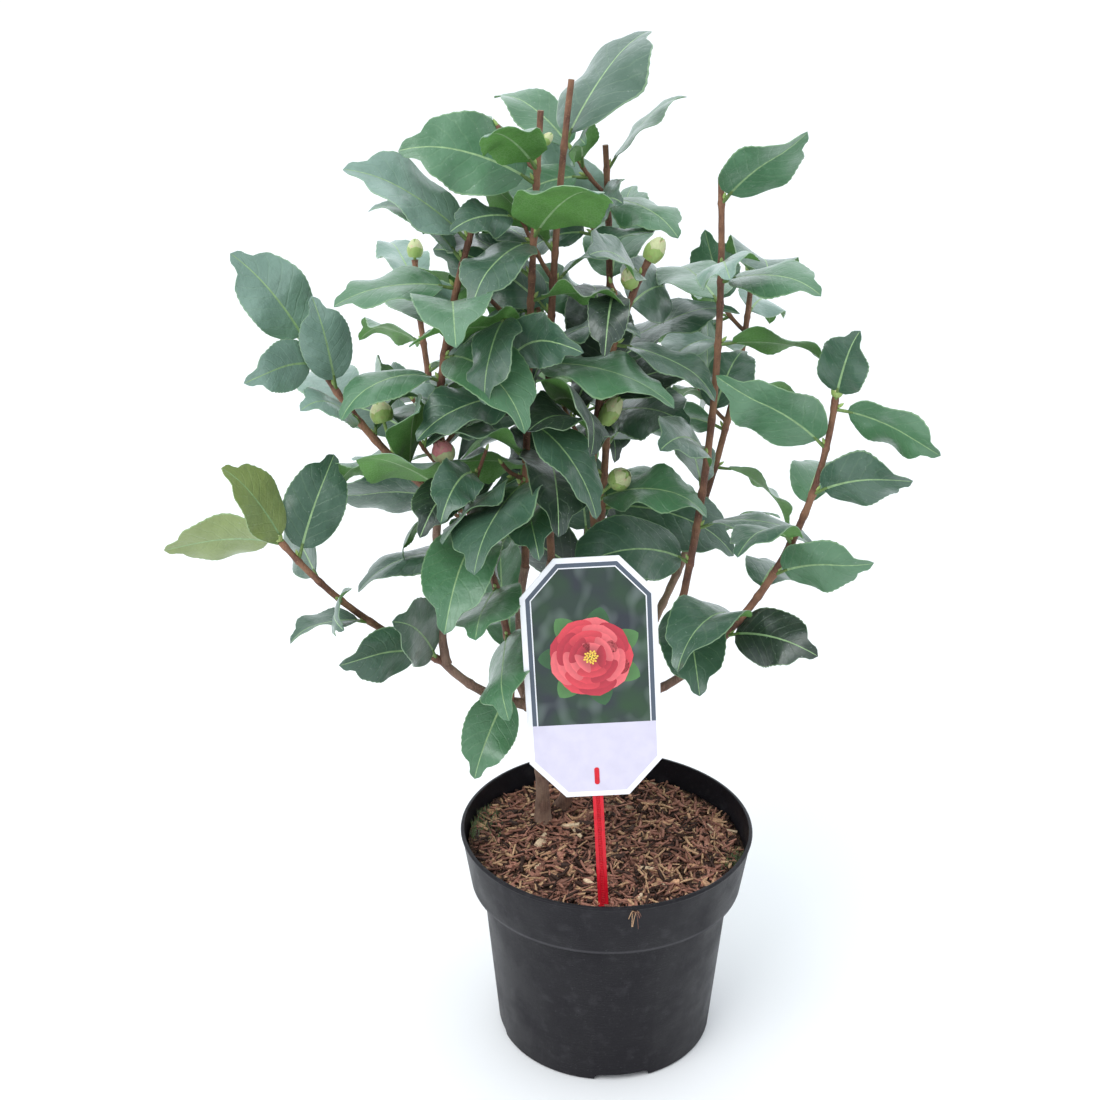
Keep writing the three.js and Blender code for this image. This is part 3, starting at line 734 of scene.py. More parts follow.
def side_twigs(crown, curve, owner):
    """The finer twigs that the solids leave out, within the mass's own space."""
    space = [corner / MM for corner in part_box(owner)]
    twigs = []
    count = int((curve.length - FINE_TWIG.bare - FINE_TWIG.first) / FINE_TWIG.every) + 1
    for index in set(range(count)).difference(OPEN_PLACES.get(owner, ())):
        seed = SHOOTS[owner]["rule"].seed * GROWTH.leaf_seeds + FINE_TWIG.seeds + index
        draw = chance(seed)
        at = FINE_TWIG.first + index * FINE_TWIG.every + (draw() - 0.5) * GROWTH.place_play
        turn = 360 * draw()
        spread = math.radians(FINE_TWIG.spread + (draw() - 0.5) * FINE_TWIG.spread_play)
        length = FINE_TWIG.length + FINE_TWIG.length_play * draw()
        for shift in GROWTH.retries:
            spot = curve.spot(at)
            heading = headed(spot, spread, math.radians(turn + shift))
            twig = Curve(spot.point, spot.point + heading * length, (0, 0, -FINE_TWIG.rise))
            radius = FINE_TWIG.radius[0]
            room = tube_room(
                twig,
                lambda _share: radius,
                FINE_TWIG.room_sides,
                FINE_TWIG.room_steps,
                GROWTH.clear,
                FINE_TWIG.room_from,
            )
            if not crown.is_free(room):
                continue
            rule = Rule(
                first=twig.length * FINE_TWIG.leaf_from,
                every=FINE_TWIG.leaf_every,
                bare=0,
                turn=turn,
                step=FINE_TWIG.leaf_step,
                length=FINE_TWIG.leaf_length,
                seed=seed,
            )
            leaves = ruled_leaves(crown, twig, rule, owner, space=space)
            if leaves:
                crown.take(room, owner)
                twigs.append(Twig(at, twig, leaves))
                break
    return twigs


def grow_plant():
    """All shoots with their leaves and twigs, in the order that the source grows them in."""
    crown = Crown()
    crown.take(card_room(GAP + GROWTH.clear))
    for name in LIMBS:
        curve = limb_curve(name)
        steps = ROOTED_STEPS if name in ROOTED else LIMB_STEPS
        crown.take(tube_room(curve, limb_radius(name, curve), LIMB_SIDES, steps, GAP))
    curves = {name: Curve(*shoot["axis"]) for name, shoot in SHOOTS.items()}
    for name, curve in curves.items():
        crown.take(tube_room(curve, shoot_radius, SHOOT_SIDES, SHOOT_STEPS, GAP), name)
    aimed = {}
    for name, shoot in SHOOTS.items():
        aimed[name] = [aimed_leaf(curves[name], one) for one in shoot["aimed"]]
        for leaf in aimed[name]:
            crown.take_leaf(leaf, name)
        for bud in shoot["buds"]:
            for room in bud_rooms(curves[name], bud):
                crown.take(room, name)
    ruled = {
        name: ruled_leaves(crown, curves[name], shoot["rule"], name, shoot["aimed"])
        for name, shoot in SHOOTS.items()
    }
    twigs = {name: side_twigs(crown, curve, name) for name, curve in curves.items()}
    return [Shoot(name, curves[name], aimed[name], ruled[name], twigs[name]) for name in SHOOTS]


# ---- Shaping ----


def add_tube(bm, sides, steps):
    """A unit tube: radius 1, from -0.5 to 0.5 along Z, with a flat cap at each end."""
    made = bmesh.ops.create_cone(bm, cap_ends=True, segments=sides, radius1=1, radius2=1, depth=1)
    if steps > 1:
        edges = {edge for vert in made["verts"] for edge in vert.link_edges}
        upright = [edge for edge in edges if abs(edge.verts[0].co.z - edge.verts[1].co.z) > 0.5]
        bmesh.ops.subdivide_edges(bm, edges=upright, cuts=steps - 1, use_grid_fill=True)


def as_template(bm):
    """A bmesh as a mesh that add_copy repeats, with a UV map if it has none yet."""
    if not bm.loops.layers.uv:
        bm.loops.layers.uv.new(UV_NAME)
    mesh = bpy.data.meshes.new("template")
    bm.to_mesh(mesh)
    bm.free()
    return mesh


@functools.cache
def tube_template(sides, steps):
    """A smooth unit tube with sharp ends. Its end caps are of material 1."""
    bm = bmesh.new()
    add_tube(bm, sides, steps)
    bm.normal_update()
    for face in bm.faces:
        is_cap = abs(face.normal.z) > 0.5
        face.smooth = not is_cap
        face.material_index = 1 if is_cap else 0
        for edge in face.edges:
            edge.smooth = edge.smooth and not is_cap
    return as_template(bm)


def add_plate(bm, columns, rows, pinched):
    """A thin closed plate: X from -1 to 1 across it, Y from 0 to 1 along it and Z of -1 or 1.

    `columns` holds the X of its columns, and `pinched` the ends that close to a point.
    """
    bmesh.ops.create_grid(bm, x_segments=len(columns) - 1, y_segments=rows, size=0.5)
    for vert in bm.verts:
        column = round((vert.co.x + 0.5) * (len(columns) - 1))
        vert.co = (columns[column], vert.co.y + 0.5, 0)
    for end in pinched:
        row = [vert for vert in bm.verts if abs(vert.co.y - end) < WELD]
        bmesh.ops.pointmerge(bm, verts=row, merge_co=(0, end, 0))
    bmesh.ops.solidify(bm, geom=bm.faces[:], thickness=1)
    middle = sum(vert.co.z for vert in bm.verts) / len(bm.verts)
    for vert in bm.verts:
        vert.co.z = 1 if vert.co.z > middle else -1
    bmesh.ops.recalc_face_normals(bm, faces=bm.faces)
    bm.normal_update()
    layer = bm.loops.layers.uv.new(UV_NAME)
    for face in bm.faces:
        face.smooth = True
        for loop in face.loops:
            loop[layer].uv = (loop.vert.co.y, loop.vert.co.x / 2 + 0.5)
    for edge in bm.edges:
        edge.smooth = edge.calc_face_angle(0) < SMOOTH_BELOW


@functools.cache
def blade_template():
    """A leaf blade as a plate. Its faces are 0 upper side, 1 underside and 2 midrib."""
    bm = bmesh.new()
    add_plate(bm, BLADE_COLUMNS, BLADE_ROWS, (0, 1))
    for face in bm.faces:
        is_rib = max(abs(vert.co.x) for vert in face.verts) <= RIB_COLUMN + WELD
        if is_rib and abs(face.normal.z) > 0.5:
            face.material_index = 2
        else:
            face.material_index = 1 if face.normal.z < 0 else 0
    return as_template(bm)


@functools.cache
def pointed_template(columns, rows):
    """A bud scale or a petal as a plate that closes to a point at its tip."""
    bm = bmesh.new()
    add_plate(bm, columns, rows, (1,))
    return as_template(bm)


def add_copy(bm, template, place, materials=None):
    """Adds a copy of a template, each vertex where place puts it, its faces' materials renumbered."""
    first_vert = len(bm.verts)
    first_face = len(bm.faces)
    bm.from_mesh(template)
    bm.verts.ensure_lookup_table()
    bm.faces.ensure_lookup_table()
    for vert in bm.verts[first_vert:]:
        vert.co = place(vert.co)
    if materials is not None:
        for face in bm.faces[first_face:]:
            face.material_index = materials[face.material_index]


def along_curve(curve, radius_at):
    """Places a unit tube along a curve. radius_at(mm, x, y) is its radius."""

    def place(co):
        at = curve.length * (co.z + 0.5)
        spot = curve.spot(at)
        radius = radius_at(at, co.x, co.y)
        return spot.point + (spot.across * co.x - spot.round * co.y) * radius

    return place


def rounded(bm, edges, by, segments=2):
    """Rounds some edges off."""
    bmesh.ops.bevel(
        bm, geom=list(edges), offset=by, segments=segments, affect="EDGES", profile=0.5, material=-1
    )


def as_object(bm, name, materials=()):
    """The bmesh as an object of the scene."""
    mesh = bpy.data.meshes.new(name)
    bm.to_mesh(mesh)
    bm.free()
    for material in materials:
        mesh.materials.append(material)
    made = bpy.data.objects.new(name, mesh)
    bpy.context.scene.collection.objects.link(made)
    return made


def finish_piece(bm, name, materials, replaced=()):
    """The bmesh as a piece in metres that rides with the plant."""
    bmesh.ops.scale(bm, vec=(MM, MM, MM), verts=bm.verts)
    piece = as_object(bm, name, materials)
    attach(piece, BODY)
    if replaced:
        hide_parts(*replaced)
    return piece


# ---- Finishes ----


def linear(hexa):
    """A screen colour, such as "#587151", as the linear colour that Blender works in."""
    shares = [int(hexa[at : at + 2], 16) / 255 for at in (1, 3, 5)]
    return tuple(
        share / 12.92 if share <= 0.04045 else ((share + 0.055) / 1.055) ** 2.4 for share in shares
    )


def shaded(colour, share):
    """A colour made darker, or lighter where share is over 1."""
    return tuple(part * share for part in colour)


def feed(tree, socket, value):
    """Gives a node's input another node's output, a colour of three parts, or a number."""
    if isinstance(value, bpy.types.NodeSocket):
        tree.links.new(value, socket)
    elif socket.type == "RGBA":
        socket.default_value = (*value, 1)
    else:
        socket.default_value = value


def input_of(node, name):
    """A node's input, by its name in small letters with _, or by n and its number."""
    if name[0] == "n" and name[1:].isdigit():
        return node.inputs[int(name[1:])]
    return next(one for one in node.inputs if one.name.lower().replace(" ", "_") == name)


def add(tree, kind, settings=None, *values, **inputs):
    """Adds a node with its settings. values feed its inputs in their order, and inputs by name."""
    node = tree.nodes.new("ShaderNode" + kind)
    for name, value in (settings or {}).items():
        setattr(node, name, value)
    for socket, value in zip(node.inputs, values):
        feed(tree, socket, value)
    for name, value in inputs.items():
        feed(tree, input_of(node, name), value)
    return node


class Finish:
    """A material under way: its nodes, its flat coordinates and its object coordinates in mm."""

    def __init__(self, name):
        self.material = bpy.data.materials.new(name)
        self.material.use_nodes = True
        self.tree = self.material.node_tree
        coords = add(self.tree, "TexCoord").outputs
        self.flat = coords["UV"]
        self.place = add(
            self.tree, "VectorMath", {"operation": "SCALE"}, coords["Object"], scale=1 / MM
        ).outputs[0]

    def step(self, kind, *values):
        """What a node makes of some values. kind is such as "MapRange", or "Math ADD"."""
        kind, _, operation = kind.partition(" ")
        settings = {"operation": operation} if operation else None
        return add(self.tree, kind, settings, *values).outputs[0]

    def stretched(self, x, y, z):
        """The coordinates with each axis divided by its size in mm."""
        return self.step("VectorMath DIVIDE", self.place, (x, y, z))

    def grain(self, size, detail=3.0, low=0.35, high=0.65, place=None):
        """Cloudy noise of a size in mm, spread from 0 to 1 between its low and high values."""
        at = place if place is not None else self.place
        cloud = add(self.tree, "TexNoise", vector=at, scale=1 / size, detail=detail)
        return self.step("MapRange", cloud.outputs["Fac"], low, high)

    def laid(self, base, over, mask, most=1.0):
        """A colour with another laid over it, up to `most` of it where the mask is 1."""
        share = self.step("MapRange", mask, 0.0, 1.0, 0.0, most)
        return add(self.tree, "Mix", {"data_type": "RGBA"}, n0=share, n6=base, n7=over).outputs[2]

    def made(self, heights, **inputs):
        """The material, with its shader's inputs, and bumps one on the other.

        heights holds pairs: a height field of 0 to 1, and its depth in mm.
        """
        normal = None
        for height, depth in heights:
            bump = add(self.tree, "Bump", height=height, distance=depth * MM, strength=1.0)
            if normal is not None:
                feed(self.tree, bump.inputs["Normal"], normal)
            normal = bump.outputs[0]
        shader = self.tree.nodes["Principled BSDF"]
        for name, value in (inputs | {"normal": normal}).items():
            feed(self.tree, input_of(shader, name), value)
        return self.material


def leaf_upper(name, colour, settings):
    """Glossy cuticle over deep green: sunken side veins, paler green on the raised blotches (partly
    tone, partly a painted sheen on the bulges), dulled by dust.
    """
    finish = Finish(name)
    axes = add(finish.tree, "SeparateXYZ", None, finish.flat).outputs
    out = finish.step("Math ABSOLUTE", finish.step("Math SUBTRACT", axes[1], 0.5))
    rows = finish.step("Math MULTIPLY", axes[0], VEIN.pairs)
    sweep = finish.step("Math SUBTRACT", rows, finish.step("Math MULTIPLY", out, VEIN.sweep))
    wander = finish.grain(9.0, detail=2.0, low=0.2, high=0.8)
    sweep = finish.step("Math ADD", sweep, finish.step("Math MULTIPLY", wander, VEIN.wander))
    away = finish.step("Math SUBTRACT", finish.step("Math FRACT", sweep), 0.5)
    away = finish.step("Math ABSOLUTE", away)
    vein = finish.step("MapRange", away, 0.0, VEIN.width, 1.0, 0.0)
    # The paler green is laid on the same blotches that raise the blade: a painted sheen on its bulges,
    # as well as a spread of tone.
    bulge_painted_sheen = finish.grain(14.0, detail=4.0)
    pale = tuple(lerp(part, 1, 0.03) * 1.25 for part in colour)
    base = finish.laid(colour, pale, bulge_painted_sheen, 0.45)
    base = finish.laid(base, settings.leaf_rib, vein, 0.07)
    margin = finish.step("Math GREATER_THAN", out, VEIN.margin)
    base = finish.laid(base, settings.leaf_rib, margin, 0.4)
    specks = finish.grain(1.6, detail=1.0, low=0.72, high=0.76)
    base = finish.laid(base, settings.leaf_specks, specks, 0.22)
    rough = settings.leaf_roughness
    return finish.made(
        [(vein, -0.14), (bulge_painted_sheen, 0.8), (finish.grain(1.1, detail=2.0), 0.03)],
        base_color=base,
        roughness=finish.step("MapRange", finish.grain(5.0), 0.0, 1.0, rough - 0.05, rough + 0.08),
        ior=1.5,
        coat_weight=settings.leaf_wax,
        coat_roughness=0.26,
        coat_ior=1.5,
        specular_tint=(0.84, 0.95, 0.9),
        sheen_weight=0.14,
        sheen_roughness=0.5,
        sheen_tint=(0.72, 0.88, 0.82),
    )


def leaf_under(name, colour, settings):
    """The leaf's matt underside: yellower green, with a faint net of raised veins."""
    finish = Finish(name)
    cell = add(
        finish.tree, "TexVoronoi", {"feature": "DISTANCE_TO_EDGE"}, vector=finish.place, scale=0.55
    )
    net = finish.step("MapRange", cell.outputs[0], 0.0, 0.12, 1.0, 0.0)
    base = finish.laid(colour, shaded(colour, 1.3), finish.grain(12.0))
    return finish.made(
        [(net, 0.05)],
        base_color=finish.laid(base, settings.leaf_rib, net, 0.2),
        roughness=finish.step("MapRange", finish.grain(6.0), 0.0, 1.0, 0.5, 0.62),
        ior=1.45,
    )


def leaf_cord(name, colour, roughness):
    """Midrib or stalk: smooth and pale, with a few long streaks."""
    finish = Finish(name)
    streak = finish.grain(3.0)
    return finish.made(
        [(finish.grain(0.8), 0.05)],
        base_color=finish.laid(colour, shaded(colour, 0.72), streak),
        roughness=finish.step("MapRange", streak, 0.0, 1.0, roughness, roughness + 0.1),
        ior=1.45,
    )


def leaf_materials(settings):
    """The materials of every mass of leaves, in the order of LEAF_MATERIALS."""
    made = {
        kind: leaf_upper("leaf_cuticle_" + kind, getattr(settings, "leaf_" + kind), settings)
        for kind, _ in LEAF_SHADES
    }
    made |= {
        "under": leaf_under("leaf_underside", settings.leaf_under, settings),
        "rib": leaf_cord("leaf_midrib", settings.leaf_rib, 0.45),
        "stalk": leaf_cord("leaf_stalk", settings.leaf_stalk, 0.5),
        "young_upper": leaf_upper("young_leaf_cuticle", settings.leaf_young, settings),
        "young_under": leaf_under("young_leaf_underside", settings.leaf_young, settings),
    }
    return [made[kind] for kind in LEAF_MATERIALS]


def bark(name, colour, pale, size):
    """Smooth young camellia bark: lengthwise fissures, pale lenticels and grey weathering."""
    finish = Finish(name)
    strands = finish.grain(
        1.0, detail=4.0, low=0.3, high=0.7, place=finish.stretched(size, size, size * 5)
    )
    patches = finish.grain(16.0, low=0.4, high=0.62)
    flecks = finish.grain(
        1.0, detail=1.0, low=0.66, high=0.7, place=finish.stretched(1.6, 1.6, 0.8)
    )
    base = finish.laid(colour, shaded(colour, 0.5), strands)
    base = finish.laid(base, pale, patches, 0.55)
    return finish.made(
        [(strands, 0.3), (flecks, 0.12), (finish.grain(0.5), 0.08)],
        base_color=finish.laid(base, pale, flecks, 0.5),
        roughness=finish.step("MapRange", patches, 0.0, 1.0, 0.6, 0.85),
        ior=1.45,
    )


def cut_wood(settings):
    """A pruned end: pale wood, browned by weather."""
    finish = Finish("pruned_wood")
    wood = settings.cut_wood
    return finish.made(
        [(finish.grain(0.4), 0.1)],
        base_color=finish.laid(wood, shaded(wood, 0.6), finish.grain(1.4)),
        roughness=0.8,
    )


def scale_skin(name, colour, edge):
    """A bud scale: satin, finely streaked, browned in patches."""
    finish = Finish(name)
    streak = finish.grain(1.0, low=0.3, high=0.7, place=finish.stretched(0.8, 0.8, 4.0))
    patch = finish.grain(3.0, detail=2.0, low=0.55, high=0.7)
    base = finish.laid(colour, shaded(colour, 0.6), streak, 0.4)
    return finish.made(
        [(streak, 0.06)], base_color=finish.laid(base, edge, patch, 0.35), roughness=0.45, ior=1.45
    )


def bud_materials(settings):
    """The materials of the buds: green scales, cream scales, petals and stalks."""
    return [
        scale_skin("bud_scales", settings.bud, settings.shoot_pale),
        scale_skin("bud_scales_pale", settings.bud_pale, settings.petal),
        scale_skin("petal_tip", settings.petal, settings.bud_pale),
        leaf_cord("bud_stalks", settings.bud, 0.5),
    ]


def pot_plastic(settings):
    """Recycled black polypropylene, moulded satin, with smudges, dried splashes and fine scuffs; a
    painted highlight along the band's lower edge and a painted shadow under the band.
    """
    finish = Finish("moulded_pot_plastic")
    plastic = settings.plastic
    smudge = finish.grain(26.0, detail=4.0, low=0.42, high=0.66)
    dust = finish.grain(9.0, detail=5.0, low=0.55, high=0.8)
    speck = finish.grain(1.3, detail=1.0, low=0.68, high=0.72)
    scuff = finish.grain(
        1.0, detail=2.0, low=0.58, high=0.62, place=finish.stretched(14.0, 14.0, 0.5)
    )
    base = finish.laid(plastic, shaded(plastic, 1.3), smudge, 0.4)
    base = finish.laid(base, settings.dust, dust, settings.dirt)
    base = finish.laid(base, settings.dust, speck, settings.dirt)
    height = add(finish.tree, "SeparateXYZ", None, finish.place).outputs[2]
    # The lighter line in the dust colour along the band's lower edge is a painted highlight.
    off = finish.step("Math SUBTRACT", height, POT.band_foot + POT.worn)
    off = finish.step("Math ABSOLUTE", off)
    edge = finish.step("MapRange", off, 0.0, POT.worn, 1.0, 0.0)
    base = finish.laid(base, settings.dust, edge, 0.22)
    # Below the ledge the wall is darkened by a painted shadow, as if the band overhung it.
    under = finish.step("Math LESS_THAN", height, POT.ledge_foot)
    shade = finish.step("MapRange", height, POT.ledge_foot - POT.shaded, POT.ledge_foot)
    shadow = finish.step("Math MULTIPLY", under, shade)
    return finish.made(
        [(scuff, 0.03), (finish.grain(0.7), 0.05), (finish.grain(34.0), 0.15)],
        base_color=finish.laid(base, shaded(plastic, 0.45), shadow, 0.6),
        roughness=finish.step("MapRange", smudge, 0.0, 1.0, 0.42, 0.58),
        ior=1.49,
        specular_ior_level=0.2,
    )


def peat(settings):
    """Damp peat and bark fines, matt and crumbly."""
    finish = Finish("peat_and_bark_fines")
    crumb = finish.grain(2.2, detail=6.0)
    bits = finish.grain(1.0, detail=2.0, low=0.6, high=0.64)
    base = finish.laid(settings.peat, settings.fibre, crumb)
    return finish.made(
        [(crumb, 1.6), (finish.grain(0.7), 0.4)],
        base_color=finish.laid(base, settings.chip_tan, bits, 0.6),
        roughness=0.92,
        ior=1.4,
    )


def bark_piece(name, colour, size):
    """A shred or chip of bark: fibrous, sooty in its cracks, and darker in patches, most of them
    towards -X.
    """
    finish = Finish(name)
    strands = finish.grain(size, detail=5.0, low=0.3, high=0.7)
    base = finish.laid(colour, shaded(colour, 0.45), strands)
    base = finish.laid(base, shaded(colour, 1.5), finish.grain(5.0), 0.3)
    # Darker patches, more of them towards -X and thinning out towards +X.
    along = add(finish.tree, "SeparateXYZ", None, finish.place).outputs[0]
    dry = finish.step("MapRange", along, DARK_PATCHES.left, DARK_PATCHES.right, 0.0, DARK_PATCHES.dry)
    patch = finish.step("Math ADD", finish.grain(DARK_PATCHES.size, detail=2.0), dry)
    damp = finish.step("MapRange", patch, 0.0, 1.0, 1.0, 0.0)
    return finish.made(
        [(strands, 0.35)],
        base_color=finish.laid(base, shaded(colour, DARK_PATCHES.shade), damp, DARK_PATCHES.most),
        roughness=0.88,
        ior=1.4,
    )


def mulch_materials(name, shades, size, settings):
    """A bark piece's material for each shade, in the order of the shades."""
    return [bark_piece(name + kind, getattr(settings, "chip_" + kind), size) for kind, _ in shades]


def moss(name, colour):
    """Fine moss: soft green, mottled darker."""
    finish = Finish(name)
    return finish.made(
        [(finish.grain(0.4), 0.1)],
        base_color=finish.laid(colour, shaded(colour, 0.5), finish.grain(1.2)),
        roughness=0.8,
        sheen_weight=0.3,
    )


def card_ink(kind, settings):
    """A printed field of the laminated card: faint print grain under a satin film."""
    finish = Finish("label_" + kind)
    colour = getattr(settings, kind)
    cloud = finish.grain(9.0)
    dots = finish.grain(0.35, detail=2.0, low=0.3, high=0.7)
    base = finish.laid(colour, shaded(colour, 0.7), dots, 0.12)
    return finish.made(
        [(finish.grain(16.0), 0.12)],
        base_color=finish.laid(base, shaded(colour, 1.25), cloud, 0.25),
        roughness=finish.step("MapRange", cloud, 0.0, 1.0, 0.3, 0.4),
        ior=1.5,
    )


def picture_ground(kind, settings):
    """The printed picture's ground: dark foliage, out of focus, in soft blots of green and grey."""
    finish = Finish("label_" + kind)
    blots = finish.grain(16.0, detail=1.0, low=0.3, high=0.75)
    glints = finish.grain(
        9.0, detail=0.0, low=0.5, high=0.85, place=finish.stretched(1.0, 1.0, 1.4)
    )
    base = finish.laid(getattr(settings, kind), shaded(settings.leaf_ink, 0.55), blots)
    return finish.made(
        [(finish.grain(16.0), 0.12)],
        base_color=finish.laid(base, settings.blur, glints, 0.45),
        roughness=0.34,
        ior=1.5,
    )


def petal_ink(kind, settings):
    """A printed petal or leaf: deep at its foot, light along its rim."""
    finish = Finish("label_" + kind)
    colour = getattr(settings, kind)
    axes = add(finish.tree, "SeparateXYZ", None, finish.flat).outputs
    rim = finish.step("Math POWER", axes[0], 1.6)
    side = finish.step("Math ABSOLUTE", finish.step("Math SUBTRACT", axes[1], 0.5))
    base = finish.laid(shaded(colour, 0.45), shaded(colour, 1.12), rim)
    base = finish.laid(base, shaded(colour, 1.5), side, 0.35)
    return finish.made(
        [(finish.grain(16.0), 0.12)],
        base_color=finish.laid(base, shaded(colour, 0.6), finish.grain(2.0), 0.18),
        roughness=0.34,
        ior=1.5,
    )


def label_materials(settings):
    """The inks of the label, in the order of CARD_INKS."""
    prints = {"night": picture_ground} | {kind: petal_ink for kind in PETAL_INKS}
    return [prints.get(kind, card_ink)(kind, settings) for kind in CARD_INKS]


def stick_plastic(settings):
    """Injection-moulded red polystyrene, scuffed, with traces of soil."""
    finish = Finish("moulded_stick_plastic")
    red = settings.stick
    scuff = finish.grain(1.0, low=0.5, high=0.62, place=finish.stretched(1.0, 1.0, 9.0))
    soil = finish.grain(4.0, detail=4.0, low=0.55, high=0.7)
    base = finish.laid(red, shaded(red, 1.4), scuff, 0.3)
    return finish.made(
        [(scuff, 0.04)],
        base_color=finish.laid(base, settings.stick_soil, soil, 0.25),
        roughness=finish.step("MapRange", scuff, 0.0, 1.0, 0.3, 0.45),
        ior=1.55,
        specular_ior_level=0.3,
    )


def floor_paint(settings):
    """A matt painted studio floor with a soft, barely seen mottle."""
    finish = Finish("studio_floor_paint")
    paint = settings.floor
    return finish.made(
        [(finish.grain(1.2), 0.02)],
        base_color=finish.laid(paint, shaded(paint, 0.97), finish.grain(180.0), 0.15),
        roughness=0.9,
    )


# ---- Leaves, bark and buds ----


class Look(NamedTuple):
    """How one leaf differs from a flat blade of the solids' width."""

    widen: float
    wave: float
    waves: float
    phase: float
    offset: float
    fold: float
    recurve: float
    curl: float
    twist: float


def leaf_look(seed, settings, is_aimed):
    draw = chance(seed + LOOK_SEEDS)
    calm = AIMED.calm if is_aimed else 1.0
    return Look(
        widen=AIMED.widen if is_aimed else 1.0,
        wave=settings.leaf_wave / MM * lerp(*LOOK.wave, draw()) * calm,
        waves=lerp(*LOOK.waves, draw()),
        phase=math.tau * draw(),
        offset=math.pi * lerp(*LOOK.offset, draw()),
        fold=settings.leaf_fold * lerp(*LOOK.fold, draw()),
        recurve=lerp(*LOOK.recurve, draw()),
        curl=lerp(*LOOK.curl, draw() ** 2),
        twist=(draw() - 0.5) * settings.leaf_twist * 2 * calm,
    )


class Row(NamedTuple):
    """One row of a blade: its middle, its directions and its half widths."""

    centre: Vector
    side: Vector
    up: Vector
    forward: Vector
    half: float
    rib: float
    lift: float
    share: float


def blade_rows(leaf, look):
    """The blade's rows, on a smooth curve through the midrib's stations."""
    stations = midrib(leaf)
    middle = stations[LEAF.steps // 2]
    is_over = middle.side.cross(middle.direction).dot(Vector(LIGHT)) < TURNED_FROM
    parts = BLADE_ROWS // LEAF.steps
    widest = leaf.length * LEAF.half_width * look.widen
    rows = []
    for row in range(BLADE_ROWS + 1):
        share = row / BLADE_ROWS
        step = min(row // parts, LEAF.steps - 1)
        between = row / parts - step
        before, after = stations[step], stations[step + 1]
        handle = (after.centre - before.centre).length
        centre = bent(before, after, handle, between)
        forward = before.direction.lerp(after.direction, between).normalized()
        side = before.side.lerp(after.side, between).normalized() * (-1 if is_over else 1)
        side.rotate(Quaternion(forward, look.twist * share))
        up = side.cross(forward)
        past = max(share - BLADE.curl_from, 0) / (1 - BLADE.curl_from)
        rib = lerp(BLADE.rib_foot, BLADE.rib_tip, share)
        half = max(blade_outline(share) * widest, rib)
        lift = -look.curl * leaf.length * past**2
        rows.append(Row(centre, side, up, forward, half, rib, lift, share))
    return rows


def bent(before, after, handle, share):
    """A point between two stations, on a curve that keeps both their directions."""
    square, cube = share**2, share**3
    return (
        before.centre * (2 * cube - 3 * square + 1)
        + before.direction * handle * (cube - 2 * square + share)
        + after.centre * (3 * square - 2 * cube)
        + after.direction * handle * (cube - square)
    )


def blade_outline(share):
    """Half the blade's width, as blade_shape gives it but fuller, and with a drawn-out point."""
    past = max(share - BLADE.point_from, 0) / (1 - BLADE.point_from)
    full = blade_shape(share) ** (BLADE.fullness / LEAF.fullness)
    return full * (1 - BLADE.point_loss * math.sin(math.pi * past**BLADE.point_power))


def place_blade(leaf, look, settings):
    """Places the blade template's vertices as one waved, folded and toothed leaf."""
    rows = blade_rows(leaf, look)
    widest = leaf.length * LEAF.half_width * look.widen
    thick = settings.leaf_thickness / MM
    tooth = settings.leaf_tooth / MM

    def place(co):
        number = round(co.y * BLADE_ROWS)
        row = rows[number]
        sign = math.copysign(1, co.x)
        share = abs(co.x)
        width = min(row.rib, row.half)
        relief = -BLADE.groove if co.z > 0 else -BLADE.keel
        forward = 0.0
        if share > RIB_COLUMN + WELD:
            relief = 0.0
            width = lerp(row.rib, row.half, (share - RIB_COLUMN) / (1 - RIB_COLUMN))
        elif number in (0, BLADE_ROWS):
            width = 0.0
        if share > 1 - WELD and 0 < number < BLADE_ROWS:
            if number % 2:
                width -= tooth * min(row.half / widest, 1)
            else:
                forward = tooth
        part = width / widest
        ripple = math.sin(math.tau * look.waves * row.share + look.phase + look.offset * sign)
        lift = width * math.sin(look.fold) - look.recurve * widest * part**2
        ends = math.sin(math.pi * row.share) ** BLADE.wave_ends
        lift += look.wave * part**BLADE.wave_power * ripple * ends
        return (
            row.centre
            + row.side * sign * width * math.cos(look.fold)
            + row.up * (lift + row.lift + relief + co.z * thick / 2)
            + row.forward * forward
        )

    return place


def add_leaf(bm, leaf, look, settings, shade):
    """One leaf: its stalk from the stem, and its blade. shade holds its upper side and underside."""
    upper, under = shade
    foot = midrib(leaf)[0]
    end = foot.centre + foot.direction * STALK.overlap
    stalk = Curve(leaf.root, end, (0, 0, -STALK.sag))

    def stalk_radius(at, _x, _y):
        return lerp(STALK.foot, STALK.tip, at / stalk.length)

    number = [LEAF_MATERIALS.index("stalk")] * 2
    add_copy(bm, tube_template(STALK.sides, STALK.steps), along_curve(stalk, stalk_radius), number)
    numbers = [LEAF_MATERIALS.index(kind) for kind in (upper, under, "rib")]
    add_copy(bm, blade_template(), place_blade(leaf, look, settings), numbers)


def leaf_shade(leaf, seed, is_young, lean):
    """Which green a leaf is dealt: by chance, by its spray's lean, and lighter further out, a painted
    shade deep in the crown and a painted sheen at its outside.
    """
    if is_young:
        return "young_upper", "young_under"
    draw = chance(seed + SHADE_SEEDS)
    out = min((leaf.root - Vector(CROWN.middle)).length / CROWN.reach, 1)
    pick = lerp(draw(), out, CROWN.sorting) + lean
    for kind, share in LEAF_SHADES:
        pick -= share
        if pick < 0:
            break
    return kind, "under"


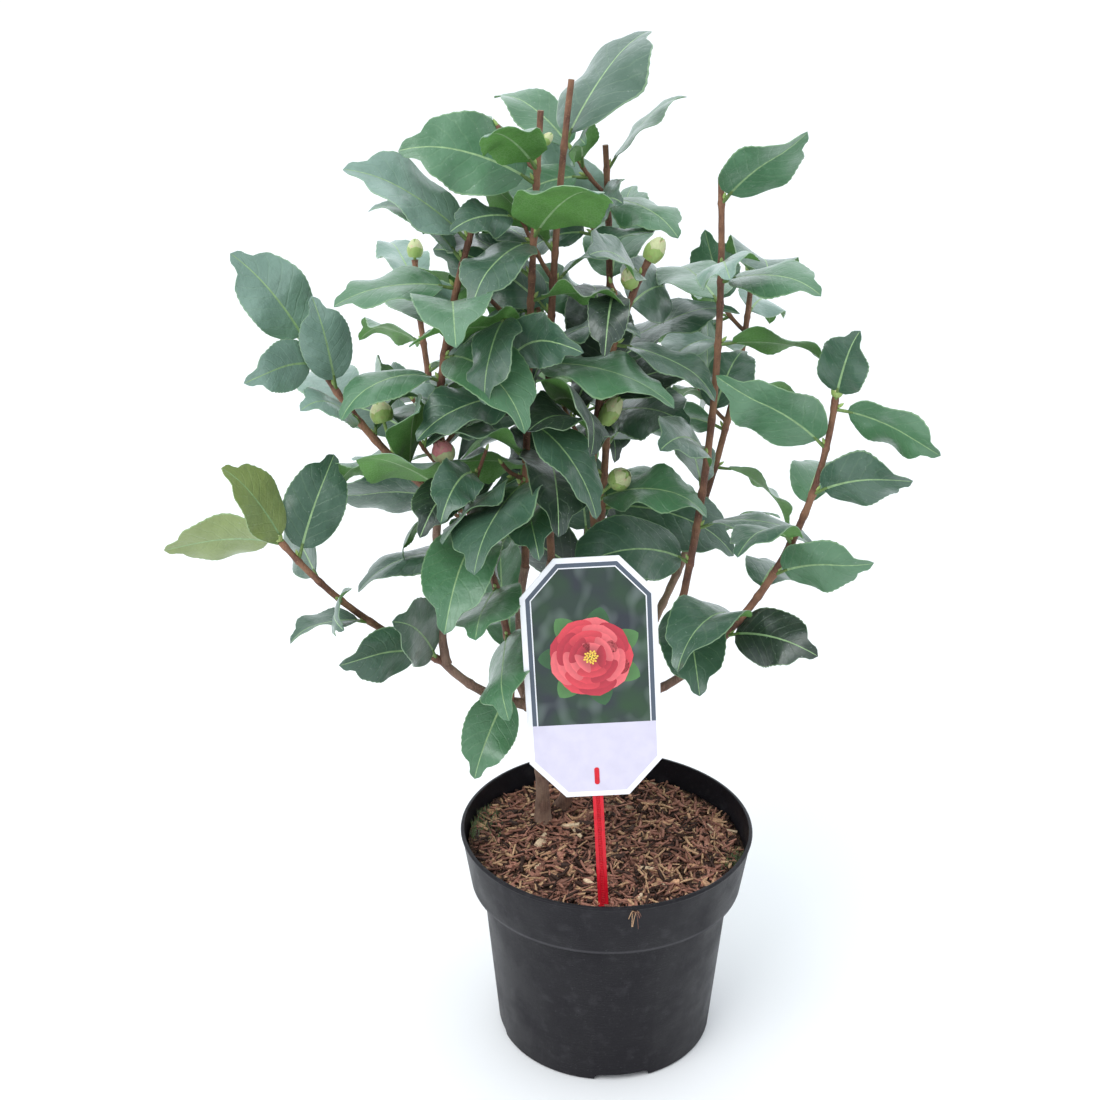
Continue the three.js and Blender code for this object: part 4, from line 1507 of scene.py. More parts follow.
def all_leaves(shoot):
    """Each leaf of a shoot with its seed, and whether it is aimed and young."""
    base = SHOOTS[shoot.name]["rule"].seed * GROWTH.leaf_seeds
    young = YOUNG.get(shoot.name, ())
    for index, leaf in enumerate(shoot.aimed):
        yield leaf, base + AIMED.seeds + index, True, index in young
    for index, leaf in enumerate(shoot.ruled):
        yield leaf, base + index, False, False
    for number, twig in enumerate(shoot.twigs):
        for index, leaf in enumerate(twig.leaves):
            yield leaf, base + TWIG_SEEDS * (number + 1) + index, False, False


def bark_radius(radius_at, nodes, relief):
    """A radius with the bark's ridges, and a swelling at each node where a leaf or bud stands."""

    def radius(at, x, y):
        ridge = noise.noise(Vector((x * BARK.ridges, y * BARK.ridges, at / BARK.ridge_length)))
        lump = noise.noise(Vector((x, y, at / BARK.lump_length)))
        swell = sum(math.exp(-(((at - node) / BARK.node_length) ** 2)) for node in nodes)
        return radius_at(at) + relief * (ridge + lump) + BARK.node_swell * min(swell, 1)

    return radius


def add_bark(bm, curve, radius, sides, step, materials):
    steps = max(round(curve.length / step), 2)
    add_copy(bm, tube_template(sides, steps), along_curve(curve, radius), materials)


def nodes_of(shoot):
    """Where a shoot's leaves, buds and twigs stand, in mm along it."""
    places = [leaf.at for leaf in shoot.aimed + shoot.ruled]
    places += [bud.at for bud in SHOOTS[shoot.name]["buds"]]
    return places + [twig.at for twig in shoot.twigs]


def add_bud(bm, axis, radius, materials):
    """A bud: an egg-shaped core under rings of overlapping scales. materials: core, lower, upper."""
    core, lower, upper = materials

    def swell(share):
        return radius * math.sin(math.pi * lerp(BUD_ROOM.foot, 1, share)) ** BUD.fullness

    def core_radius(at, _x, _y):
        return swell(at / axis.length)

    add_copy(bm, tube_template(BUD.sides, BUD.steps), along_curve(axis, core_radius), (core, core))
    for ring, (foot, reach) in enumerate(BUD.rings):
        for number in range(BUD.scales):
            turn = math.tau * (number + ring / 2) / BUD.scales + ring

            def place(co, foot=foot, reach=reach, turn=turn, ring=ring):
                share = foot + reach * co.y
                width = max(1 - co.y**BUD.point, 0) ** 0.5
                angle = turn + co.x * width * BUD.half_angle
                spot = axis.spot(axis.length * min(share, 1))
                out = swell(min(share, 1)) + BUD.lift * (1 + co.y) * radius + co.z * BUD.thick / 2
                return spot.point + (spot.across * math.cos(angle) + spot.round * math.sin(angle)) * out

            kind = upper if ring >= len(BUD.rings) / 2 else lower
            add_copy(bm, pointed_template(SCALE_COLUMNS, SCALE_ROWS), place, (kind,) * 3)


def make_stems(settings):
    """The trunk, second stem and boughs in bark, as one piece."""
    bm = bmesh.new()
    for name in LIMBS:
        curve = limb_curve(name)
        taper = limb_radius(name, curve)
        collar = 0.0 if name in ROOTED else BARK.collar

        def radius_at(at, curve=curve, taper=taper, collar=collar):
            return taper(at / curve.length) + collar * math.exp(-at / BARK.collar_length)

        radius = bark_radius(radius_at, LIMB_NODES, settings.bark_relief / MM)
        add_bark(bm, curve, radius, BARK.limb_sides, BARK.limb_step, (0, 0))
    materials = [bark("bark_of_stems", settings.bark, settings.bark_pale, 1.2)]
    return finish_piece(bm, "stem_bark", materials, LIMBS)


def make_shoot_bark(shoots, settings):
    """The shoots' own stems and their fine twigs. The pruned ones end in a flat, pale cut."""
    bm = bmesh.new()
    relief = settings.bark_relief / MM * BARK.young_relief
    for shoot in shoots:
        curve = shoot.curve

        def radius_at(at, curve=curve):
            return shoot_radius(at / curve.length)

        end = 1 if shoot.name in PRUNED else 0
        radius = bark_radius(radius_at, nodes_of(shoot), relief)
        add_bark(bm, curve, radius, BARK.shoot_sides, BARK.shoot_step, (0, end))
        for twig in shoot.twigs:

            def twig_radius(at, twig=twig):
                return lerp(*FINE_TWIG.radius, at / twig.curve.length)

            radius = bark_radius(twig_radius, [leaf.at for leaf in twig.leaves], relief)
            add_bark(bm, twig.curve, radius, BARK.twig_sides, BARK.shoot_step, (0, 0))
    skin = bark("bark_of_shoots", settings.shoot, settings.shoot_pale, 0.7)
    materials = [skin, cut_wood(settings)]
    return finish_piece(bm, "shoot_bark", materials)


def make_foliage(shoot, settings, materials):
    """One mass of leaves, in place of the frame's."""
    bm = bmesh.new()
    lean = SPRAY_LEAN.get(shoot.name, 0.0)
    for leaf, seed, is_aimed, is_young in all_leaves(shoot):
        look = leaf_look(seed, settings, is_aimed)
        add_leaf(bm, leaf, look, settings, leaf_shade(leaf, seed, is_young, lean))
    name = shoot.name.replace("leaves", "foliage")
    return finish_piece(bm, name, materials, [shoot.name])


def make_buds(shoots, settings):
    """Flower buds and end buds on their stalks, and a small bud in each leaf's axil."""
    bm = bmesh.new()
    green, cream, petal, stem = range(4)
    for shoot in shoots:
        curve = shoot.curve
        for number, bud in enumerate(SHOOTS[shoot.name]["buds"]):
            body, stalk = bud_curves(curve, bud)
            is_open = shoot.name == OPENING_BUD and number == 0
            kinds = (petal, cream, petal) if is_open else (green, green, cream)
            add_bud(bm, body, bud.radius, kinds)
            place = along_curve(stalk, lambda _at, _x, _y: BUD_ROOM.stalk_radius)
            add_copy(bm, tube_template(BUD.stalk_sides, BUD.stalk_steps), place, (stem, stem))
        leaves = shoot.aimed + shoot.ruled + [leaf for twig in shoot.twigs for leaf in twig.leaves]
        ends = [Curve(*end_bud(twig.curve)) for twig in shoot.twigs]
        for axis in [Curve(*axil_bud(leaf)) for leaf in leaves] + ends:

            def radius(at, _x, _y, axis=axis):
                return AXIL.radius * math.sin(math.pi * lerp(BUD_ROOM.foot, 1, at / axis.length))

            place = along_curve(axis, radius)
            add_copy(bm, tube_template(AXIL.sides, AXIL.steps), place, (green, green))
    return finish_piece(bm, "buds", bud_materials(settings))


def axil_bud(leaf):
    """The ends of the small bud that stands between a leaf's stalk and its stem."""
    heading = (leaf.along + leaf.heading).normalized()
    foot = leaf.root + leaf.heading * AXIL.out + leaf.along * AXIL.up
    return foot, foot + heading * AXIL.length


def end_bud(curve):
    spot = curve.spot(curve.length)
    return spot.point - spot.along, spot.point + spot.along * AXIL.length


# ---- Pot and soil ----


def pot_profile():
    """Half the pot's section, from the middle of its underside out, up, over the lip and back in."""
    rim = RIM_RADIUS
    inset = POT.wall
    ring_in = POT.foot_radius - POT.chamfer - POT.skirt
    return [
        (0, 0),
        (POT.pad_radius, 0),
        (POT.pad_radius + POT.under_slope, POT.under_rise),
        (ring_in - POT.under_slope, POT.under_rise),
        (ring_in, 0),
        (POT.foot_radius - POT.chamfer, 0),
        (POT.foot_radius, POT.chamfer),
        (POT.neck_radius, POT.ledge_foot),
        (POT.band_radius, POT.band_foot),
        (rim - POT.lip_turn, POT_HEIGHT - POT.lip),
        (rim, POT_HEIGHT - POT.lip + POT.lip_round),
        (rim, POT_HEIGHT - POT.lip_round),
        (rim - POT.lip_turn, POT_HEIGHT),
        *reversed(inner_wall(inset)),
        (0, POT.under_rise + inset),
    ]


def inner_wall(inset):
    """The inside of the pot's wall, `inset` mm in from its outside, from the floor to the lip."""
    return [
        (POT.foot_radius - inset, POT.under_rise + inset),
        (POT.neck_radius - inset, POT.ledge_foot + POT.wall),
        (POT.band_radius - inset, POT.band_foot + POT.wall),
        (RIM_RADIUS - POT.lip_turn - inset, POT_HEIGHT - POT.lip),
        (RIM_RADIUS - POT.lip_turn - inset, POT_HEIGHT),
    ]


def inner_radius(height, inset):
    """The inside radius of the pot at a height."""
    wall = inner_wall(inset)
    for (radius, low), (next_radius, high) in zip(wall, wall[1:]):
        if height <= high:
            return lerp(radius, next_radius, (height - low) / (high - low))
    return wall[-1][0]


def turned(profile, segments):
    """A closed solid of revolution about Z, from (radius, height) points."""
    bm = bmesh.new()
    verts = [bm.verts.new((radius, 0, height)) for radius, height in profile]
    edges = [bm.edges.new(pair) for pair in zip(verts, verts[1:])]
    bmesh.ops.spin(
        bm, geom=verts + edges, axis=(0, 0, 1), angle=math.tau, steps=segments, use_merge=True
    )
    bmesh.ops.remove_doubles(bm, verts=bm.verts, dist=WELD)
    bmesh.ops.dissolve_degenerate(bm, edges=bm.edges, dist=WELD)
    bmesh.ops.recalc_face_normals(bm, faces=bm.faces)
    return bm


def notch_cutters():
    """The boxes that cut the drain notches out of the foot ring."""
    bm = bmesh.new()
    for number in range(NOTCH.count):
        turn = Matrix.Rotation(math.radians(NOTCH.turn + 360 / NOTCH.count * number), 4, "Z")
        size = Matrix.Diagonal((NOTCH.depth, NOTCH.width, 2 * NOTCH.height, 1))
        place = turn @ Matrix.Translation((POT.foot_radius, 0, 0)) @ size
        made = bmesh.ops.create_cube(bm, size=1, matrix=place)
        edges = {edge for vert in made["verts"] for edge in vert.link_edges}
        upright = [edge for edge in edges if all(end.co.z > 0 for end in edge.verts)]
        rounded(bm, upright, NOTCH.round, segments=3)
    return as_object(bm, "notch_cutters")


def make_pot(settings):
    bm = turned(pot_profile(), POT.segments)
    for vert in bm.verts:
        radius = math.hypot(vert.co.x, vert.co.y)
        if radius > POT.neck_radius:
            out = POT.wobble * noise.noise(vert.co / POT.wobble_size)
            vert.co.x += vert.co.x / radius * out
            vert.co.y += vert.co.y / radius * out
    sharp = math.radians(POT.sharp_from)
    corners = [edge for edge in bm.edges if edge.calc_face_angle(0) > sharp]
    rounded(bm, corners, POT.rounding)
    for face in bm.faces:
        face.smooth = True
    shell = as_object(bm, "pot_shell")
    cutters = notch_cutters()
    cut = shell.modifiers.new("drain notches", "BOOLEAN")
    cut.object = cutters
    cut.solver = "EXACT"
    bpy.context.view_layer.update()
    evaluated = shell.evaluated_get(bpy.context.evaluated_depsgraph_get())
    bm = bmesh.new()
    bm.from_mesh(evaluated.to_mesh())
    evaluated.to_mesh_clear()
    bpy.data.objects.remove(shell)
    bpy.data.objects.remove(cutters)
    for edge in bm.edges:
        edge.smooth = edge.calc_face_angle(0) < sharp
    return finish_piece(bm, "nursery_pot", [pot_plastic(settings)], ["pot"])


def ground(x, y):
    """The height of the mulch's surface: lumpy, higher round the stems and along the left wall."""
    lumps = noise.noise(Vector((x, y, 0)) / MULCH.lump_size) * MULCH.lump
    crumbs = noise.noise(Vector((x, y, MULCH.lump_size)) / MULCH.crumb_size) * MULCH.crumb
    away = (x - MULCH.heap_x) ** 2 + (y - MULCH.heap_y) ** 2
    heap = MULCH.heap * math.exp(-away / MULCH.heap_size**2)
    bank = MULCH.bank * (max(-x, 0) / MULCH.bank_reach) ** 4
    return SOIL_TOP - MULCH.below + lumps + crumbs + heap + bank


def make_soil_bed(settings):
    """The peat that fills the pot, in place of the frame's soil."""
    inset = POT.wall + MULCH.clear
    wall = [point for point in inner_wall(inset) if point[1] < SOIL_TOP]
    edge = inner_radius(SOIL_TOP, inset)
    rings = [(edge * (1 - number / MULCH.rings), SOIL_TOP) for number in range(MULCH.rings + 1)]
    bm = turned([(0, wall[0][1]), *wall, *rings], MULCH.segments)
    for vert in bm.verts:
        if vert.co.z > SOIL_TOP - WELD:
            vert.co.z = ground(vert.co.x, vert.co.y)
    for face in bm.faces:
        face.smooth = True
    return finish_piece(bm, "peat_bed", [peat(settings)], ["soil"])


def chip_template():
    """A flat chip, parted twice along X so that it can bend and taper."""
    bm = bmesh.new()
    bmesh.ops.create_cube(bm, size=1)
    along = [edge for edge in bm.edges if abs(edge.verts[0].co.x - edge.verts[1].co.x) > 0.5]
    bmesh.ops.subdivide_edges(bm, edges=along, cuts=2, use_grid_fill=True)
    return as_template(bm)


def scattered(chooser, length):
    """A place on the mulch for a chip of some length, with its turn round Z."""
    reach = inner_radius(SOIL_TOP, POT.wall + MULCH.clear) - length / 2
    radius = reach * math.sqrt(chooser.random())
    turn = math.tau * chooser.random()
    return radius * math.cos(turn), radius * math.sin(turn), math.tau * chooser.random()


def lay(chooser, length, width, thick, bend, tilt, lift):
    """Places a chip or shred: bent, tapered and roughened, lying on the mulch."""
    x, y, turn = scattered(chooser, length)
    lean = Matrix.Rotation((chooser.random() - 0.5) * tilt, 3, "Y")
    roll = Matrix.Rotation((chooser.random() - 0.5) * tilt * LAY.roll, 3, "X")
    place_turn = Matrix.Rotation(turn, 3, "Z") @ lean @ roll
    middle = Vector((x, y, ground(x, y) + lift))
    taper = chooser.uniform(*LAY.taper)
    bow = chooser.uniform(-bend, bend)
    seed = Vector((chooser.random(), chooser.random(), chooser.random())) * MULCH.seed_room
    limit = inner_radius(SOIL_TOP, POT.wall) - MULCH.clear

    def place(co):
        rough = noise.noise_vector(co * 2 + seed) * MULCH.rough
        slim = 1 - taper * (2 * abs(co.x)) ** 2 * LAY.slimming
        local = Vector(
            (
                (co.x + rough.x * LAY.along) * length,
                (co.y + rough.y) * width * slim + bow * length * co.x**2 * 2,
                (co.z + rough.z) * thick + abs(bow) * length * co.x**2,
            )
        )
        point = middle + place_turn @ local
        out = math.hypot(point.x, point.y)
        if out > limit:
            point.x *= limit / out
            point.y *= limit / out
        return point

    return place


def make_chips(settings):
    """Bark chips on the peat, in several browns."""
    chooser = random.Random(MULCH.seed)
    template = chip_template()
    bm = bmesh.new()
    for _ in range(settings.chip_count):
        length = chooser.uniform(*CHIP.length) * (1 + CHIP.large * (chooser.random() > CHIP.large_from))
        width = length * chooser.uniform(*CHIP.width)
        thick = chooser.uniform(*CHIP.thick)
        shade = chooser.choices(range(len(CHIP_SHADES)), [share for _, share in CHIP_SHADES])[0]
        lift = chooser.uniform(*CHIP.lift)
        place = lay(chooser, length, width, thick, CHIP.bend, CHIP.tilt, lift)
        add_copy(bm, template, place, [shade])
    materials = mulch_materials("bark_chip_", CHIP_SHADES, 1.3, settings)
    return finish_piece(bm, "bark_chips", materials)


def make_shreds(settings):
    """Bark fibres and straw-coloured splinters among the chips."""
    chooser = random.Random(MULCH.seed + 1)
    template = tube_template(SHRED.sides, SHRED.steps)
    bm = bmesh.new()
    for _ in range(settings.shred_count):
        length = chooser.uniform(*SHRED.length)
        width = chooser.uniform(*SHRED.width)
        thick = chooser.uniform(*SHRED.thick)
        shade = chooser.choices(range(len(SHRED_SHADES)), [share for _, share in SHRED_SHADES])[0]
        lift = chooser.uniform(*SHRED.lift)
        lie = lay(chooser, length, width, thick, SHRED.bend, SHRED.tilt, lift)

        def place(co, lie=lie):
            return lie(Vector((co.z, co.x, co.y)))

        add_copy(bm, template, place, [shade, shade])
    add_rootlets(bm, chooser)
    materials = mulch_materials("bark_fibre_", SHRED_SHADES, 0.7, settings)
    return finish_piece(bm, "bark_fibres", materials)


def add_rootlets(bm, chooser):
    """Fine roots that hang over the front of the rim."""
    template = tube_template(ROOTLET.sides, ROOTLET.steps)
    for _ in range(ROOTLET.count):
        x = ROOTLET.x + chooser.uniform(-ROOTLET.spread, ROOTLET.spread)
        drift = chooser.uniform(-ROOTLET.fan, ROOTLET.fan)
        start = (x - drift, -RIM_RADIUS + ROOTLET.inside, SOIL_TOP + chooser.uniform(*ROOTLET.lift))
        drop = chooser.uniform(*ROOTLET.drop)
        end = (x + drift, -RIM_RADIUS - chooser.uniform(*ROOTLET.outside), POT_HEIGHT - drop)
        top = Vector((x, -RIM_RADIUS, POT_HEIGHT + ROOTLET.over + drop / 2))
        bow = (2 * top - Vector(start) - Vector(end)) / 4
        radius = chooser.uniform(*ROOTLET.radius)
        shade = chooser.choice(ROOTLET.shades)
        curve = Curve(start, end, bow)
        add_copy(bm, template, along_curve(curve, lambda _at, _x, _y: radius), [shade, shade])


def make_moss(settings):
    """Tufts of moss where the mulch meets the wall."""
    chooser = random.Random(MULCH.seed + 2)
    template = tube_template(MOSS.sides, MOSS.steps)
    bm = bmesh.new()
    limit = inner_radius(SOIL_TOP, POT.wall) - MULCH.clear - MOSS.lean
    for x, y, spread, count in MOSS_PATCHES:
        for _ in range(count):
            foot = Vector((x + chooser.gauss(0, spread), y + chooser.gauss(0, spread), 0))
            if foot.length > limit:
                foot *= limit / foot.length
            foot.z = ground(foot.x, foot.y) - MOSS.sink
            lean = Vector((chooser.uniform(-1, 1), chooser.uniform(-1, 1), 0)) * MOSS.lean
            height = chooser.uniform(*MOSS.height)
            blade = Curve(foot, foot + lean + Vector((0, 0, height)), lean * MOSS.bow)

            def radius(at, _x, _y, blade=blade):
                return MOSS.radius * (1 - MOSS.thinning * at / blade.length)

            shade = chooser.randrange(2)
            add_copy(bm, template, along_curve(blade, radius), [shade, shade])
    materials = [moss("moss_dark", settings.moss), moss("moss_light", shaded(settings.moss, 1.8))]
    return finish_piece(bm, "moss", materials)


# ---- Label ----


def label_matrix():
    """From the label's own space, with its front to -Y, to its place in the pot."""
    middle = Matrix.Translation((CARD_PLACE.x, CARD_PLACE.y, CARD_PLACE.z))
    back = Matrix.Rotation(math.radians(-CARD_PLACE.lean_back), 4, "X")
    return middle @ back @ Matrix.Rotation(math.radians(-CARD_PLACE.lean_side), 4, "Y")


def clipped(width, height, corner, foot, cut_foot=True):
    """Corners of a sheet with clipped corners, in X and Z. The foot's corners are clipped or square."""
    x, (a, b) = width / 2, corner
    top = height / 2
    lower = [(-x + a, foot), (x - a, foot), (x, foot + b)] if cut_foot else [(-x, foot), (x, foot)]
    upper = [(x, top - b), (x - a, top), (-x + a, top), (-x, top - b)]
    return lower + upper + ([(-x, foot + b)] if cut_foot else [])


def add_sheet(bm, corners, front, thick, material=0, round_by=0.0):
    """A flat sheet in the label's space: its front at Y = front, `thick` deep."""
    verts = [bm.verts.new((x, front, z)) for x, z in corners]
    face = bm.faces.new(verts)
    made = bmesh.ops.extrude_face_region(bm, geom=[face])["geom"]
    moved = [item for item in made if isinstance(item, bmesh.types.BMVert)]
    bmesh.ops.translate(bm, verts=moved, vec=(0, thick, 0))
    faces = {face for vert in verts + moved for face in vert.link_faces}
    for one in faces:
        one.material_index = material
    bmesh.ops.recalc_face_normals(bm, faces=list(faces))
    if round_by:
        rim = [edge for one in faces for edge in one.edges if edge.calc_face_angle(0) > 1]
        rounded(bm, set(rim), round_by)


def card_room(grow):
    """The room that the label card takes, `grow` mm larger all round."""
    bm = bmesh.new()
    width, height = CARD.width + 2 * grow, CARD.height + 2 * grow
    corners = clipped(width, height, (CARD.corner_wide, CARD.corner_high), -height / 2)
    add_sheet(bm, corners, -CARD.thick / 2 - grow, CARD.thick + 2 * grow)
    bmesh.ops.transform(bm, matrix=label_matrix(), verts=bm.verts)
    return room_of(bm)


def printed(bm, inset, layer, material):
    """A printed field above the strip, `inset` mm in from the card's edge, one film on another."""
    share = 1 - inset * PRINT.corner_loss / CARD.corner_wide
    corner = (CARD.corner_wide * share, CARD.corner_high * share)
    width, height = CARD.width - 2 * inset, CARD.height - 2 * inset
    corners = clipped(width, height, corner, PRINT.strip_top, cut_foot=False)
    front = -CARD.thick / 2 - PRINT.film * layer
    add_sheet(bm, corners, front, PRINT.film * layer + PRINT.sunk, material)


def petal(bm, centre, turn, reach, half, layer, material, skew=1.0):
    """A flat petal or leaf of the printed picture."""
    along = Vector((math.cos(turn), 0, math.sin(turn)))
    aside = Vector((-along.z, 0, along.x))
    front = -CARD.thick / 2 - PRINT.film * layer
    start, length = reach

    def place(co):
        share = co.y
        swell = math.sin(math.pi * lerp(PRINT.petal_foot, 1, share) ** skew)
        width = half * swell**PRINT.petal_fullness
        point = centre + along * (start + length * share) + aside * co.x * width
        point.y = front if co.z < 0 else front + PRINT.film * PRINT.petal_thick
        return point

    add_copy(bm, pointed_template(PETAL_COLUMNS, PETAL_ROWS), place, (material,) * 3)


def make_card(settings):
    """The label: a clipped white card with a printed border and a plain flower design."""
    bm = bmesh.new()
    bm.loops.layers.uv.new(UV_NAME)
    ink = CARD_INKS.index
    corner = (CARD.corner_wide, CARD.corner_high)
    corners = clipped(CARD.width, CARD.height, corner, -CARD.height / 2)
    add_sheet(bm, corners, -CARD.thick / 2, CARD.thick, ink("card"), PRINT.rounding)
    printed(bm, PRINT.margin, 1, ink("slate"))
    printed(bm, PRINT.margin + PRINT.band, 2, ink("card"))
    printed(bm, PRINT.margin + PRINT.band + PRINT.line, 3, ink("night"))
    width, height = CARD.width - 2 * PRINT.margin, CARD.height - 2 * PRINT.margin
    corner = (CARD.corner_wide - PRINT.corner_trim, CARD.corner_high - PRINT.corner_trim)
    field = clipped(width, height, corner, -height / 2)
    strip_top = PRINT.strip_top
    strip = [*field[:3], (field[3][0], strip_top), (field[6][0], strip_top), field[7]]
    add_sheet(bm, strip, -CARD.thick / 2 - PRINT.film, PRINT.film + PRINT.sunk, ink("lavender"))
    add_flower(bm, ink)
    bmesh.ops.transform(bm, matrix=label_matrix(), verts=bm.verts)
    return finish_piece(bm, "plant_label", label_materials(settings), ["label_card"])


def add_flower(bm, ink):
    """A generic flower: rings of round petals on a wreath of leaves, and a dotted yellow middle."""
    centre = Vector((0, 0, FLOWER.height))
    for number in range(FLOWER.leaves):
        turn = math.tau * (number + 0.5) / FLOWER.leaves
        shade = ink("leaf_ink") if number % 2 else ink("leaf_ink_pale")
        reach = (FLOWER.leaf_from, FLOWER.leaf_length)
        petal(bm, centre, turn, reach, FLOWER.leaf_half, FLOWER.leaf_layer, shade)
    for ring in range(FLOWER.rings):
        share = ring / FLOWER.rings
        size = FLOWER.radius * (1 - share * FLOWER.closing)
        count = FLOWER.petals - ring
        for number in range(count):
            turn = math.tau * (number + ring / 2) / count
            shade = ink(FLOWER_SHADES[(number + ring) % len(FLOWER_SHADES)])
            half = size * math.sin(math.pi / count) * FLOWER.overlap
            layer = FLOWER.petal_layer + ring + (number % 2) / 2
            reach = (size * FLOWER.petal_from, size * FLOWER.petal_length)
            petal(bm, centre, turn, reach, half, layer, shade, PRINT.petal_skew)
    for number in range(FLOWER.stamens):
        turn = math.tau * number * FLOWER.spiral
        out = FLOWER.middle * math.sqrt((number + 0.5) / FLOWER.stamens)
        place = centre + Vector((math.cos(turn) * out, 0, math.sin(turn) * out))
        reach = (-FLOWER.dot, 2 * FLOWER.dot)
        petal(bm, place, turn, reach, FLOWER.dot_half, FLOWER.dot_layer, ink("yellow"))


def make_stick(settings):
    """The ribbed stick behind the card, and its tongue through the card's slot."""
    bm = bmesh.new()
    back = CARD.thick / 2 + GAP
    top = -SLOT_BELOW + STICK.lap
    edge, web = STICK.width / 2, STICK.width / 2 - RIB.flange
    deep = back + RIB.depth
    outline = [
        (-edge, back),
        (-web, back),
        (-web, deep),
        (web, deep),
        (web, back),
        (edge, back),
        (edge, back + STICK.thick),
        (-edge, back + STICK.thick),
    ]
    face = bm.faces.new([bm.verts.new((x, y, top)) for x, y in outline])
    made = bmesh.ops.extrude_face_region(bm, geom=[face])["geom"]
    moved = [item for item in made if isinstance(item, bmesh.types.BMVert)]
    bmesh.ops.translate(bm, verts=moved, vec=(0, 0, -STICK.length))
    for number in range(int(STICK.length / RIB.every)):
        height = top - RIB.every * (number + 0.5)
        size = Matrix.Diagonal((2 * web + WELD, RIB.height, RIB.thick, 1))
        place = Matrix.Translation((0, deep - RIB.sunk, height)) @ size
        bmesh.ops.create_cube(bm, size=1, matrix=place)
    size = Matrix.Diagonal((TONGUE.width, TONGUE.thick, TONGUE.height, 1))
    front = back + STICK.thick / 2 - TONGUE.thick
    place = Matrix.Translation((0, front + TONGUE.thick / 2, -SLOT_BELOW)) @ size
    made = bmesh.ops.create_cube(bm, size=1, matrix=place)
    edges = {edge for vert in made["verts"] for edge in vert.link_edges}
    ends = [edge for edge in edges if edge.verts[0].co.y != edge.verts[1].co.y]
    rounded(bm, ends, TONGUE.round, segments=4)
    bmesh.ops.recalc_face_normals(bm, faces=bm.faces)
    edges = [edge for edge in bm.edges if edge.calc_face_angle(0) > 1]
    rounded(bm, edges, RIB.rounding, segments=1)
    bmesh.ops.transform(bm, matrix=label_matrix(), verts=bm.verts)
    return finish_piece(bm, "label_stake", [stick_plastic(settings)], ["label_stick"])


# ---- Settings ----


def colour(hexa, thing):
    """The colour of a thing, for the sidebar, from its screen colour."""
    return FloatVectorProperty(
        name=thing.removeprefix("the ").capitalize(),
        description="Colour of " + thing,
        default=linear(hexa),
        subtype="COLOR",
        size=3,
        min=0.0,
        max=1.0,
    )


def length(name, millimetres, description, most):
    """A length that the sidebar shows, of up to `most` mm."""
    return FloatProperty(
        name=name,
        description=description,
        default=millimetres * MM,
        min=0.0,
        max=most * MM,
        unit="LENGTH",
        precision=4,
    )


def share(name, default, description):
    return FloatProperty(
        name=name, description=description, default=default, min=0.0, max=1.0, subtype="FACTOR"
    )


class PotSettings(bpy.types.PropertyGroup):
    plastic: colour("#17151a", "the moulded plastic")
    dust: colour("#77757a", "the dried dust and splashes on the pot")
    dirt: share("Dirt", 0.1, "How strongly the dust shows")


class MulchSettings(bpy.types.PropertyGroup):
    chip_count: IntProperty(
        name="Chips", description="Number of bark chips", default=420, min=0, max=900
    )
    shred_count: IntProperty(
        name="Fibres", description="Number of bark fibres", default=3000, min=0, max=4000
    )
    peat: colour("#3a2a22", "the damp peat")
    fibre: colour("#6e5041", "the bark fines in the peat")
    chip_tan: colour("#d6a682", "the tan bark")
    chip_rust: colour("#b9826f", "the pinkish brown bark")
    chip_brown: colour("#936656", "the brown bark")
    chip_umber: colour("#452f27", "the darkest bark")
    chip_pale: colour("#ecd0ae", "the palest bark")
    chip_straw: colour("#dcb18a", "the palest fibres")
    moss: colour("#4f6428", "the moss at the rim")


class LabelSettings(bpy.types.PropertyGroup):
    card: colour("#efeff3", "the bare card")
    slate: colour("#4c5664", "the printed border")
    night: colour("#232a33", "the ground behind the printed flower")
    lavender: colour("#d0cbdd", "the plain strip under the picture")
    blur: colour("#7d8a86", "the soft lights behind the printed flower")
    leaf_ink: colour("#2f5a33", "the darker printed leaves")
    leaf_ink_pale: colour("#4f7c45", "the lighter printed leaves")
    coral: colour("#d23f4c", "most printed petals")
    rose: colour("#b62c3e", "the deepest printed petals")
    coral_pale: colour("#e0656b", "the palest printed petals")
    yellow: colour("#e8c24a", "the printed stamens")
    stick: colour("#cc1428", "the stick's plastic")
    stick_soil: colour("#5a2c28", "the soil that clings to the stick")


